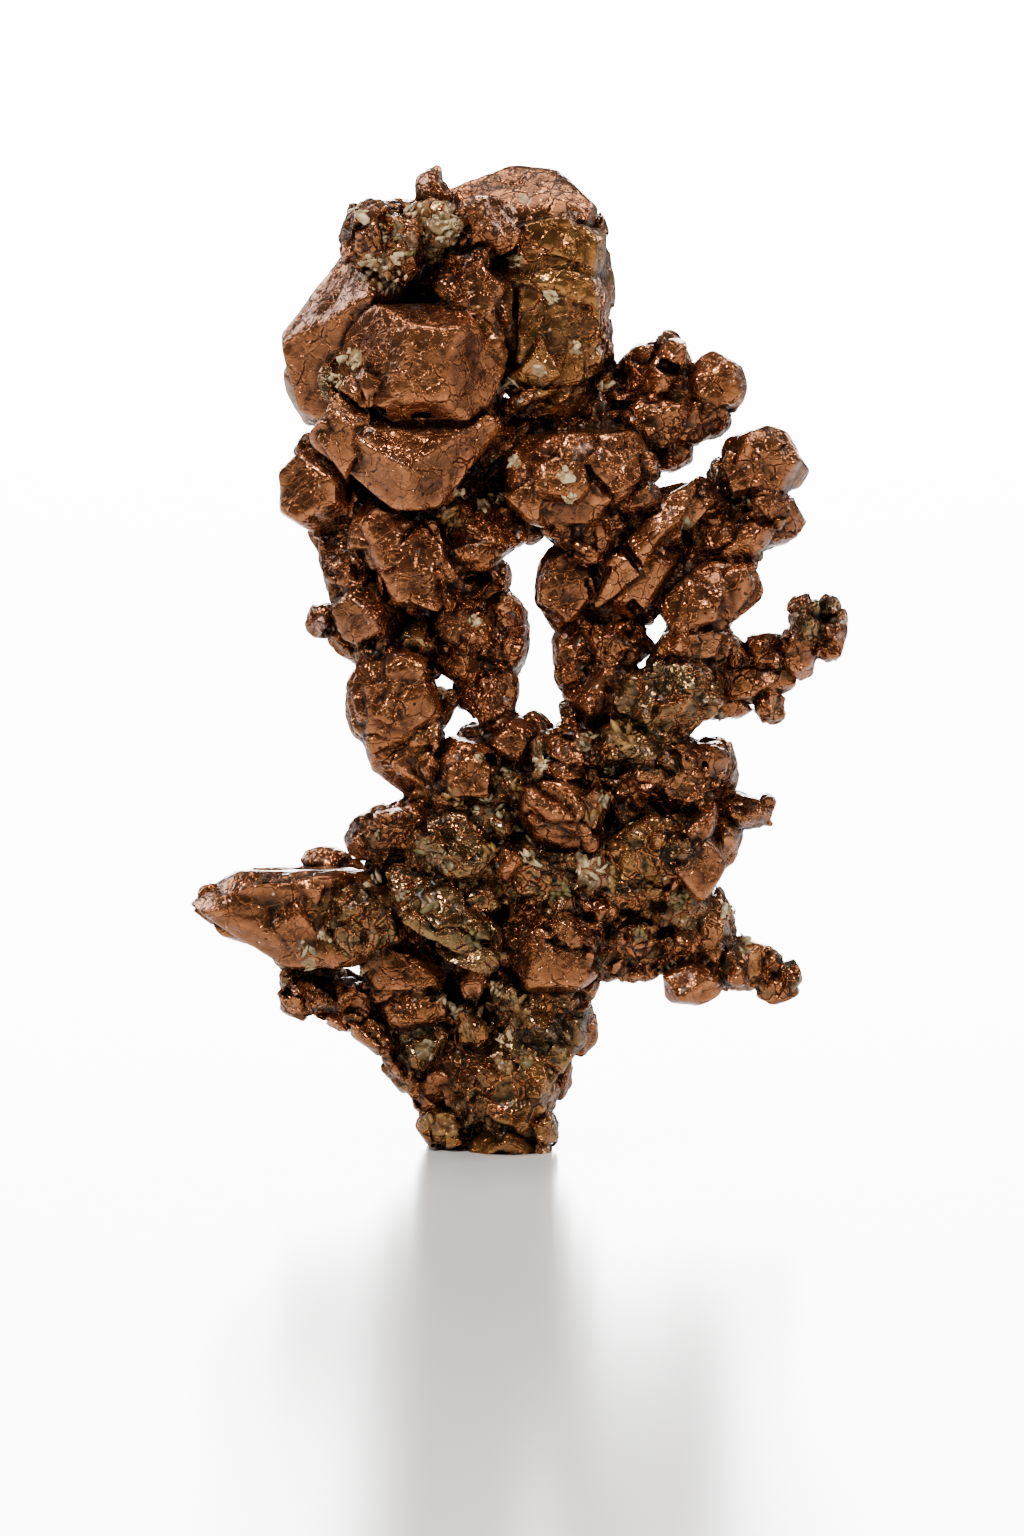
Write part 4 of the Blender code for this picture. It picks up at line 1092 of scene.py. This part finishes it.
# deep places and creases are darkened nearly to black: partly dark oxide, partly painted shade
deep = np.clip((cav_l - 0.38) * 2.8, 0, 1)
base = base * (1 - 0.78 * deep)[:, None]
creased = np.clip((cav_s - 0.53) * 3.6, 0, 1)
base = base * (1 - 0.80 * creased)[:, None]
base = base * (1 - 0.60 * np.clip(v_line, 0, 1))[:, None]
mineral = np.where(tone == TONES.index("m"), 0.8, 0.0)
crust_n = point_noise(vert.astype(np.float32), 1.1, 84) + 0.6 * point_noise(vert.astype(np.float32), 3.4, 85)
crust = np.clip((crust_n - 0.62) * 4, 0, 1) * (v_habit > 1) * (1 - creased)
mineral = np.clip(mineral * (0.4 + 0.6 * (crust_n > 0)) + 0.8 * crust, 0, 1)
base = mix(base, (0.20, 0.150, 0.075), 0.6 * crust)

# u, v, spread, how many, kind: where crust shows from the front
SPOTS = """
415 210 8 10 cream
450 222 10 16 cream
446 238 8 8 cream
385 272 22 26 cream
372 262 10 8 cream
360 212 7 7 cream
405 247 10 8 moss
396 230 8 5 moss
352 358 9 9 cream
336 378 7 8 cream
515 262 7 6 cream
524 200 6 4 cream
552 298 7 7 cream
573 345 8 9 cream
540 370 6 4 cream
603 386 6 6 cream
510 383 5 4 cream
460 492 6 7 cream
450 516 12 12 ochre
486 503 8 8 cream
500 497 5 3 cream
516 462 6 7 cream
565 475 7 8 cream
569 498 6 8 cream
688 525 6 5 grey
745 500 5 3 grey
474 622 5 7 cream
443 690 5 4 cream
480 757 5 4 cream
455 799 9 8 ochre
486 810 15 12 grey
505 770 6 5 grey
515 790 7 5 ochre
541 764 7 10 cream
585 742 9 8 grey
625 702 8 7 ochre
625 737 14 18 ochre
610 770 6 5 grey
600 798 7 6 grey
590 818 7 6 ochre
530 855 10 10 cream
590 872 12 14 cream
560 890 8 10 moss
610 880 8 8 ochre
680 900 12 16 moss
728 912 6 12 cream
402 895 5 5 grey
372 880 7 7 cream
305 945 8 7 grey
325 936 7 5 cream
376 832 5 4 grey
310 963 6 4 cream
360 972 5 6 cream
456 1008 9 12 grey
470 1030 8 10 ochre
497 990 6 6 cream
503 1040 8 8 cream
505 1066 8 8 ochre
440 1128 16 14 ochre
745 944 8 9 cream
735 652 4 3 grey
760 556 4 3 grey
720 715 5 4 grey
440 860 12 8 grey
425 845 8 4 moss
490 850 8 6 ochre
470 940 9 8 moss
430 905 9 6 moss
520 1010 10 8 ochre
530 1060 10 6 moss
425 1050 10 6 grey
440 1000 6 6 cream
640 935 9 8 moss
"""
KINDS = {
    "cream": ((0.80, 0.63, 0.36), (0.34, 0.225, 0.100), 0.38),
    "grey": ((0.42, 0.34, 0.19), (0.110, 0.080, 0.036), 0.42),
    "ochre": ((0.32, 0.175, 0.045), (0.15, 0.074, 0.018), 0.42),
    "moss": ((0.20, 0.150, 0.040), (0.080, 0.059, 0.017), 0.42),
}
u, v, far = seen(vert)
pixel = (np.clip(v, 0, 1535) / 2).astype(int) * 512 + (np.clip(u, 0, 1023) / 2).astype(int)
front = np.full(768 * 512, 1e9)
np.minimum.at(front, pixel, far)
shows = far < front[pixel] + 0.5
outer_vertex = np.zeros(len(vert), bool)
outer_vertex[np.unique(ring[(side == 0).any(1)])] = True
shows &= outer_vertex
# stains of the same minerals round the grains
speck = point_noise(vert.astype(np.float32), 0.75, 86) + 0.5 * point_noise(vert.astype(np.float32), 1.9, 87)
for line_ in SPOTS.strip().splitlines():
    su, sv, spread_, count, kind = line_.split()
    su, sv, spread_ = float(su), float(sv), float(spread_) * 0.95 + 1.5
    far2 = ((u - su) ** 2 + (v - sv) ** 2) / spread_ ** 2
    w_ = np.clip(1.3 - far2, 0, 1) * shows
    w_ = np.clip((w_ + 0.95 * speck - 0.70) * 3.4, 0, 1) * (w_ > 0)
    base = mix(base, KINDS[kind][1], 0.80 * w_ * (1 - 0.8 * creased))
    mineral = np.maximum(mineral, 0.85 * w_)


# ------------------------------------------------------------- materials
def nodes_for(name):
    mat = bpy.data.materials.new(name)
    mat.use_nodes = True
    tree = mat.node_tree
    return mat, tree, tree.nodes["Principled BSDF"]


def add(tree, kind, inputs=None, **props):
    node = tree.nodes.new(kind)
    for key, val in props.items():
        setattr(node, key, val)
    for key, val in (inputs or {}).items():
        node.inputs[key].default_value = val
    return node


def link(tree, a, out, b, into):
    tree.links.new(a.outputs[out], b.inputs[into])


def math_node(tree, op, a, b=None, clamp=False):
    node = tree.nodes.new("ShaderNodeMath")
    node.operation = op
    node.use_clamp = clamp
    for k, val in enumerate((a, b)):
        if val is None:
            continue
        if isinstance(val, (int, float)):
            node.inputs[k].default_value = val
        else:
            tree.links.new(val, node.inputs[k])
    return node.outputs[0]


def mix_colour(tree, factor, a, b, blend="MIX"):
    node = tree.nodes.new("ShaderNodeMix")
    node.data_type = "RGBA"
    node.blend_type = blend
    sockets = {"f": node.inputs[0], "a": node.inputs[6], "b": node.inputs[7]}
    for key, val in (("f", factor), ("a", a), ("b", b)):
        if isinstance(val, (int, float)):
            sockets[key].default_value = val
        elif isinstance(val, tuple):
            sockets[key].default_value = (*val, 1.0)
        else:
            tree.links.new(val, sockets[key])
    return node.outputs[2]


def span(tree, value, low, high, to_low=0.0, to_high=1.0):
    node = add(tree, "ShaderNodeMapRange", {"From Min": low, "From Max": high,
                                             "To Min": to_low, "To Max": to_high})
    node.clamp = True
    tree.links.new(value, node.inputs["Value"])
    return node.outputs[0]


def vector_node(tree, op, a, b=None, scale=None):
    node = tree.nodes.new("ShaderNodeVectorMath")
    node.operation = op
    for k, val in enumerate((a, b)):
        if val is None:
            continue
        if isinstance(val, tuple):
            node.inputs[k].default_value = val
        else:
            tree.links.new(val, node.inputs[k])
    if scale is not None:
        node.inputs["Scale"].default_value = scale
    return node.outputs["Value"] if op == "DOT_PRODUCT" else node.outputs["Vector"]


def copper():
    mat, tree, shader = nodes_for("native_copper")
    where = add(tree, "ShaderNodeTexCoord").outputs["Object"]
    tint = add(tree, "ShaderNodeAttribute", attribute_name="tint")
    look = add(tree, "ShaderNodeAttribute", attribute_name="look")
    wear_and_highlight = add(tree, "ShaderNodeAttribute", attribute_name="wear_and_highlight")
    split = add(tree, "ShaderNodeSeparateColor")
    link(tree, look, "Color", split, "Color")
    # look carries the mineral crust, the oxide and painted shade of hollows and creases, and the habit
    mineral, oxide_and_shade, ragged = split.outputs[0], split.outputs[1], split.outputs[2]

    # coordinates bent a little, so no plate runs straight
    bend = add(tree, "ShaderNodeTexNoise", {"Scale": 800.0, "Detail": 2.0, "Roughness": 0.6})
    tree.links.new(where, bend.inputs["Vector"])
    bent = vector_node(tree, "MULTIPLY_ADD", bend.outputs["Color"], (0.0011, 0.0011, 0.0011))
    tree.links.new(where, bent.node.inputs[2])

    # thin plates, each one leaning its own way
    def plates(scale, slope):
        cell = add(tree, "ShaderNodeTexVoronoi", {"Scale": scale, "Randomness": 1.0})
        tree.links.new(bent, cell.inputs["Vector"])
        lean = vector_node(tree, "SUBTRACT", cell.outputs["Color"], (0.5, 0.5, 0.5))
        arm = vector_node(tree, "SUBTRACT", bent, cell.outputs["Position"])
        own = add(tree, "ShaderNodeSeparateColor")
        tree.links.new(cell.outputs["Color"], own.inputs["Color"])
        return math_node(tree, "MULTIPLY", vector_node(tree, "DOT_PRODUCT", lean, arm), slope), own

    lean0, own0 = plates(235.0, 0.16)
    lean1, own1 = plates(520.0, 0.75)
    lean2, own2 = plates(1450.0, 0.45)
    edge = add(tree, "ShaderNodeTexVoronoi", {"Scale": 520.0, "Randomness": 1.0},
               feature="DISTANCE_TO_EDGE")
    tree.links.new(bent, edge.inputs["Vector"])
    crack = span(tree, edge.outputs["Distance"], 0.0, 0.05, 1.0, 0.0)
    beside = math_node(tree, "MULTIPLY", span(tree, edge.outputs["Distance"], 0.05, 0.13, 1.0, 0.0),
                       span(tree, own1.outputs[1], 0.45, 0.60))
    some = math_node(tree, "ADD", math_node(tree, "MULTIPLY", ragged, 0.9), 0.30, True)
    crack = math_node(tree, "MULTIPLY", crack, some)
    # wider plates, their seams open only here and there
    seam = add(tree, "ShaderNodeTexVoronoi", {"Scale": 235.0, "Randomness": 1.0},
               feature="DISTANCE_TO_EDGE")
    tree.links.new(bent, seam.inputs["Vector"])

    # tarnish in streaks and fine mottles, dark pits, and painted glints in fine specks
    mottle = add(tree, "ShaderNodeTexNoise", {"Scale": 1300.0, "Detail": 4.0, "Roughness": 0.70})
    tree.links.new(where, mottle.inputs["Vector"])
    patch = add(tree, "ShaderNodeTexNoise", {"Scale": 300.0, "Detail": 4.0, "Roughness": 0.65,
                                              "Distortion": 0.8})
    tree.links.new(where, patch.inputs["Vector"])
    parted = span(tree, patch.outputs[0], 0.46, 0.54)
    seam_dark = math_node(tree, "MULTIPLY", span(tree, seam.outputs["Distance"], 0.0, 0.028, 1.0, 0.0), parted)
    seam_rim = math_node(tree, "MULTIPLY", span(tree, seam.outputs["Distance"], 0.028, 0.075, 1.0, 0.0),
                         span(tree, patch.outputs[0], 0.50, 0.58))
    crack = math_node(tree, "MAXIMUM", crack, seam_dark)
    vein = math_node(tree, "ABSOLUTE", math_node(tree, "SUBTRACT", patch.outputs[0], 0.5))
    vein = span(tree, vein, 0.0, 0.016, 1.0, 0.0)
    pits = add(tree, "ShaderNodeTexVoronoi", {"Scale": 1150.0, "Randomness": 1.0})
    tree.links.new(where, pits.inputs["Vector"])
    chance = add(tree, "ShaderNodeSeparateColor")
    link(tree, pits, "Color", chance, "Color")
    dot = span(tree, pits.outputs["Distance"], 0.12, 0.22, 1.0, 0.0)
    pit = math_node(tree, "MULTIPLY", dot, span(tree, chance.outputs[0], 0.72, 0.74))
    painted_glint = math_node(tree, "MULTIPLY", dot, span(tree, chance.outputs[1], 0.88, 0.89))

    shade = span(tree, mottle.outputs[0], 0.32, 0.68, 0.78, 1.24)
    own_shade = span(tree, own1.outputs[0], 0.0, 1.0, 0.66, 1.38)
    shade = math_node(tree, "MULTIPLY", shade, own_shade)
    shade = math_node(tree, "MULTIPLY", shade, span(tree, own2.outputs[0], 0.0, 1.0, 0.84, 1.18))
    calm = math_node(tree, "ADD", math_node(tree, "MULTIPLY", ragged, 0.9), 0.45, True)
    shade = math_node(tree, "ADD", math_node(tree, "MULTIPLY", shade, calm),
                      math_node(tree, "SUBTRACT", 1.0, calm))
    shade = math_node(tree, "MULTIPLY", shade, span(tree, own0.outputs[1], 0.0, 1.0, 0.80, 1.22))
    tone = add(tree, "ShaderNodeCombineColor")
    for k in range(3):
        tree.links.new(shade, tone.inputs[k])
    colour = mix_colour(tree, 1.0, tint.outputs["Color"], tone.outputs[0], "MULTIPLY")
    warm = span(tree, patch.outputs[0], 0.52, 0.72, 0.0, 0.35)
    colour = mix_colour(tree, warm, colour, (0.125, 0.035, 0.010))
    # plate rims, seam rims and veins turn bright copper: partly bare copper, partly a painted highlight; none
    # where hollows carry painted shade
    bright = math_node(tree, "MULTIPLY", math_node(tree, "MULTIPLY", beside, some), 0.90)
    bright = math_node(tree, "MAXIMUM", bright, math_node(tree, "MULTIPLY", vein, 0.50), True)
    bright = math_node(tree, "MAXIMUM", bright, math_node(tree, "MULTIPLY", seam_rim, 0.80), True)
    open_ = math_node(tree, "SUBTRACT", 1.0, oxide_and_shade, True)
    bright = math_node(tree, "MULTIPLY", bright, open_)
    colour = mix_colour(tree, bright, colour, (0.44, 0.150, 0.044))
    dull = math_node(tree, "MAXIMUM", math_node(tree, "MULTIPLY", crack, 0.85),
                     math_node(tree, "MULTIPLY", pit, 0.85), True)
    colour = mix_colour(tree, dull, colour, (0.010, 0.004, 0.0025))
    # painted glints: a few fine specks turn bright copper
    colour = mix_colour(tree, math_node(tree, "MULTIPLY", painted_glint, 0.75), colour, (0.75, 0.42, 0.24))
    tree.links.new(colour, shader.inputs["Base Color"])

    rough = span(tree, mottle.outputs[0], 0.32, 0.70, 0.22, 0.36)
    rough = math_node(tree, "ADD", rough, math_node(tree, "MULTIPLY", oxide_and_shade, 0.30))
    rough = math_node(tree, "ADD", rough, math_node(tree, "MULTIPLY", mineral, 0.25))
    rough = math_node(tree, "SUBTRACT", rough, math_node(tree, "MULTIPLY", bright, 0.30))
    # rims with the painted highlight and bare copper are glossier
    wear_and_highlight_part = add(tree, "ShaderNodeSeparateColor")
    link(tree, wear_and_highlight, "Color", wear_and_highlight_part, "Color")
    rough = math_node(tree, "SUBTRACT", rough, math_node(tree, "MULTIPLY", wear_and_highlight_part.outputs[0], 0.14), True)
    tree.links.new(rough, shader.inputs["Roughness"])
    metal = math_node(tree, "SUBTRACT", 0.92, math_node(tree, "MULTIPLY", mineral, 0.92))
    metal = math_node(tree, "SUBTRACT", metal, math_node(tree, "MULTIPLY", oxide_and_shade, 0.45), True)
    tree.links.new(metal, shader.inputs["Metallic"])

    # relief too fine for the mesh, heights in metres
    height = math_node(tree, "MULTIPLY", math_node(tree, "ADD", lean1,
                       math_node(tree, "MULTIPLY", lean2, 0.6)), some)
    height = math_node(tree, "ADD", height, lean0)
    height = math_node(tree, "SUBTRACT", height, math_node(tree, "MULTIPLY", crack, 0.00014))
    height = math_node(tree, "SUBTRACT", height, math_node(tree, "MULTIPLY", pit, 0.00012))
    height = math_node(tree, "ADD", height, math_node(tree, "MULTIPLY", mottle.outputs[0], 0.00004))
    height = math_node(tree, "ADD", height, math_node(tree, "MULTIPLY", vein, 0.00003))
    bump = add(tree, "ShaderNodeBump", {"Strength": 1.0, "Distance": 1.0})
    tree.links.new(height, bump.inputs["Height"])
    link(tree, bump, "Normal", shader, "Normal")
    shader.inputs["Specular IOR Level"].default_value = 0.5
    shader.inputs["Coat Weight"].default_value = 0.15
    shader.inputs["Coat Roughness"].default_value = 0.22
    return mat


def grain_material(name, colour, other, rough):
    mat, tree, shader = nodes_for(name)
    where = add(tree, "ShaderNodeTexCoord")
    tint = add(tree, "ShaderNodeAttribute", attribute_name="tint")
    cloud = add(tree, "ShaderNodeTexNoise", {"Scale": 1600.0, "Detail": 4.0, "Roughness": 0.6})
    link(tree, where, "Object", cloud, "Vector")
    mixed = mix_colour(tree, span(tree, cloud.outputs[0], 0.38, 0.62), colour, other)
    mixed = mix_colour(tree, 1.0, mixed, tint.outputs["Color"], "MULTIPLY")
    tree.links.new(mixed, shader.inputs["Base Color"])
    bump = add(tree, "ShaderNodeBump", {"Strength": 0.6, "Distance": 0.0001})
    tree.links.new(cloud.outputs[0], bump.inputs["Height"])
    link(tree, bump, "Normal", shader, "Normal")
    shader.inputs["Roughness"].default_value = rough
    shader.inputs["Subsurface Weight"].default_value = 0.08
    shader.inputs["Subsurface Radius"].default_value = (0.0006, 0.0005, 0.0003)
    return mat


# ------------------------------------------------------------- the branches
def colour_layer(mesh, name, values):
    layer = mesh.color_attributes.new(name, "FLOAT_COLOR", "POINT")
    full = np.ones((len(values), 4), np.float32)
    full[:, :3] = values
    layer.data.foreach_set("color", full.ravel())


def mesh_from(name, verts, faces):
    mesh = bpy.data.meshes.new(name)
    count, corner = len(faces), faces.shape[1]
    mesh.vertices.add(len(verts))
    mesh.vertices.foreach_set("co", np.ascontiguousarray(verts, np.float32).ravel())
    mesh.loops.add(count * corner)
    mesh.loops.foreach_set("vertex_index", np.ascontiguousarray(faces, np.int32).ravel())
    mesh.polygons.add(count)
    mesh.polygons.foreach_set("loop_start", np.arange(0, count * corner, corner, dtype=np.int32))
    mesh.update(calc_edges=True)
    return mesh


skin = copper()
# look: the mineral crust, the oxide and painted shade of hollows and creases, and the habit
look = np.stack([mineral, np.clip(0.6 * deep + 0.5 * creased, 0, 1), v_habit / 2], 1)
# third attribute: the convex mask of the painted rim highlight and bare copper, the plate number and the crack
# lines
wear_and_highlight = np.stack([convex, v_plate, v_line], 1)
for number, name in enumerate(names, 1):
    lower = ring[side[:, 0] == number]              # the solid is on the low side
    upper = ring[side[:, 1] == number][:, ::-1]
    faces = np.concatenate([lower, upper])
    used, inverse = np.unique(faces.ravel(), return_inverse=True)
    mesh = mesh_from(name + "_skin", vert[used] * 0.001, inverse.reshape(-1, 4))
    colour_layer(mesh, "tint", base[used])
    colour_layer(mesh, "look", look[used])
    colour_layer(mesh, "wear_and_highlight", wear_and_highlight[used])
    mesh.shade_smooth()
    mesh.set_sharp_from_angle(angle=math.radians(40))
    mesh.materials.append(skin)
    piece = bpy.data.objects.new(name + "_skin", mesh)
    bpy.context.scene.collection.objects.link(piece)
    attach(piece, "root")
    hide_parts(name)
    print(name, len(mesh.polygons) * 2, "triangles")

# ------------------------------------------------------------ mineral grains
rng = np.random.RandomState(77)
phi = (1 + math.sqrt(5)) / 2
ICO = np.array([(-1, phi, 0), (1, phi, 0), (-1, -phi, 0), (1, -phi, 0), (0, -1, phi), (0, 1, phi),
                (0, -1, -phi), (0, 1, -phi), (phi, 0, -1), (phi, 0, 1), (-phi, 0, -1),
                (-phi, 0, 1)]) / math.sqrt(1 + phi * phi)
ICO_FACES = np.array([(0, 11, 5), (0, 5, 1), (0, 1, 7), (0, 7, 10), (0, 10, 11), (1, 5, 9),
                      (5, 11, 4), (11, 10, 2), (10, 7, 6), (7, 1, 8), (3, 9, 4), (3, 4, 2),
                      (3, 2, 6), (3, 6, 8), (3, 8, 9), (4, 9, 5), (2, 4, 11), (6, 2, 10),
                      (8, 6, 7), (9, 8, 1)])
seats = {kind: [] for kind in KINDS}
for line_ in SPOTS.strip().splitlines():
    su, sv, spread, count, kind = line_.split()
    su, sv, spread, count = float(su), float(sv), float(spread), int(count)
    close = np.flatnonzero(shows & ((u - su) ** 2 + (v - sv) ** 2 < spread ** 2))
    if len(close):
        count = int(1.7 * count)
        seats[kind].append(rng.choice(close, min(count, len(close)), replace=False))
# a sprinkle in the hollows of hackly crystals, all round
odd = np.flatnonzero(outer_vertex & (v_habit > 1) & (cav_s > 0.50) & (cav_s < 0.66)
                     & (drift > -0.1))
for kind, count in (("cream", 90), ("grey", 200), ("ochre", 260), ("moss", 200)):
    seats[kind].append(rng.choice(odd, min(count, len(odd)), replace=False))
odd = np.flatnonzero(outer_vertex & (v_habit == 1) & (cav_s > 0.54) & (drift2 > 0.15))
for kind, count in (("cream", 30), ("grey", 90), ("ochre", 110), ("moss", 70)):
    seats[kind].append(rng.choice(odd, min(count, len(odd)), replace=False))
for kind, (colour, other, rough) in KINDS.items():
    seat = np.concatenate(seats[kind])
    placed = sum(len(x) for x in seats[kind][:-2])     # the named spots come first
    count = len(seat)
    size = rng.gamma(5.0, 0.062, count).clip(0.14, 0.62)
    size[placed:] *= 0.62
    size = size[:, None, None]
    shape = ICO[None] * (1 + rng.uniform(-0.40, 0.40, (count, 12, 1)))
    flatness = np.stack([rng.uniform(0.9, 2.1, count), rng.uniform(0.50, 0.9, count),
                         rng.uniform(0.28, 0.55, count)], 1)
    shape = shape * flatness[:, None, :] * size
    up = grad[seat] + rng.normal(size=(count, 3)) * 0.38
    up /= np.linalg.norm(up, axis=1)[:, None]
    along = np.cross(up, rng.normal(size=(count, 3)))
    along /= np.linalg.norm(along, axis=1)[:, None]
    turns = np.stack([along, np.cross(up, along), up], 2)
    shape = np.einsum("nij,nkj->nki", turns, shape)
    middle = vert[seat] + grad[seat] * (0.10 * size[:, 0, :]) + rng.normal(size=(count, 3)) * 0.10
    grains = (middle[:, None, :] + shape).reshape(-1, 3)
    grains[:, 2] = np.maximum(grains[:, 2], 0.02)
    faces = (ICO_FACES[None] + 12 * np.arange(count)[:, None, None]).reshape(-1, 3)
    mesh = mesh_from(kind + "_grains", grains * 0.001, faces)
    tints = np.repeat(rng.uniform(0.7, 1.15, (count, 1)) * np.ones((1, 3)), 12, axis=0)
    colour_layer(mesh, "tint", tints)
    mesh.materials.append(grain_material(kind + "_crust", colour, other, rough))
    piece = bpy.data.objects.new(kind + "_grains", mesh)
    bpy.context.scene.collection.objects.link(piece)
    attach(piece, "root")
    print(kind, len(mesh.polygons), "triangles")

# ------------------------------------------------------- floor, light, camera
floor_mat, tree, shader = nodes_for("pale_floor")
shader.inputs["Base Color"].default_value = (0.82, 0.82, 0.82, 1.0)
shader.inputs["Roughness"].default_value = 0.20
shader.inputs["IOR"].default_value = 1.45
floor_mesh = mesh_from("floor", np.array([(-25.0, -25.0, 0.0), (25.0, -25.0, 0.0),
                                          (25.0, 25.0, 0.0), (-25.0, 25.0, 0.0)]),
                       np.array([(0, 1, 2, 3)]))
floor_mesh.materials.append(floor_mat)
floor = bpy.data.objects.new("floor", floor_mesh)
bpy.context.scene.collection.objects.link(floor)

# a bright paper backdrop, which the floor mirrors
paper, tree, shader = nodes_for("white_backdrop")
shader.inputs["Base Color"].default_value = (0.9, 0.9, 0.9, 1.0)
shader.inputs["Emission Color"].default_value = (1.0, 1.0, 1.0, 1.0)
shader.inputs["Emission Strength"].default_value = 26.0
card_mesh = mesh_from("backdrop", np.array([(-1.0, 8.0, 0.0), (1.0, 8.0, 0.0),
                                            (1.0, 8.0, 3.0), (-1.0, 8.0, 3.0)]),
                      np.array([(0, 1, 2, 3)]))
card_mesh.materials.append(paper)
card = bpy.data.objects.new("backdrop", card_mesh)
bpy.context.scene.collection.objects.link(card)


def soft_light(name, where, aim, size, watts, colour=(1, 1, 1)):
    lamp = bpy.data.lights.new(name, "AREA")
    lamp.shape = "RECTANGLE"
    lamp.size, lamp.size_y = size
    lamp.energy = watts
    lamp.color = colour
    obj = bpy.data.objects.new(name, lamp)
    obj.location = where
    obj.rotation_euler = (Vector(aim) - Vector(where)).to_track_quat("-Z", "Y").to_euler()
    bpy.context.scene.collection.objects.link(obj)
    return obj


soft_light("key", (-0.34, -0.46, 0.66), (0, 0, 0.05), (0.12, 0.12), 7.2, (1.0, 0.94, 0.86))
soft_light("key_right", (0.46, -0.42, 0.34), (0, 0, 0.05), (0.10, 0.10), 1.8, (1.0, 0.95, 0.90))
soft_light("top", (0.02, 0.05, 0.95), (0, 0, 0.05), (0.40, 0.40), 4.4, (1.0, 0.96, 0.90))
soft_light("back_left", (-0.50, 0.45, 0.40), (0, 0, 0.05), (0.25, 0.40), 2.5)
soft_light("back_right", (0.50, 0.45, 0.40), (0, 0, 0.05), (0.25, 0.40), 2.5)

world = bpy.data.worlds.new("studio")
world.use_nodes = True
back = world.node_tree.nodes["Background"]
back.inputs["Color"].default_value = (1, 1, 1, 1)
back.inputs["Strength"].default_value = 0.22
bpy.context.scene.world = world

cam = bpy.data.cameras.new("camera")
cam.sensor_fit = "VERTICAL"
cam.sensor_height = 36.0
cam.sensor_width = 24.0
cam.lens = 36.0 * EYE_DISTANCE / (1536 * UNIT)
cam.clip_start, cam.clip_end = 0.05, 20.0
camera = bpy.data.objects.new("camera", cam)
e = math.radians(EYE_ANGLE)
camera.location = (0.0, -0.001 * EYE_DISTANCE * math.cos(e),
                   0.001 * (AIM_HEIGHT + EYE_DISTANCE * math.sin(e)))
camera.rotation_euler = (math.radians(90 - EYE_ANGLE), 0.0, 0.0)
bpy.context.scene.collection.objects.link(camera)
bpy.context.scene.camera = camera
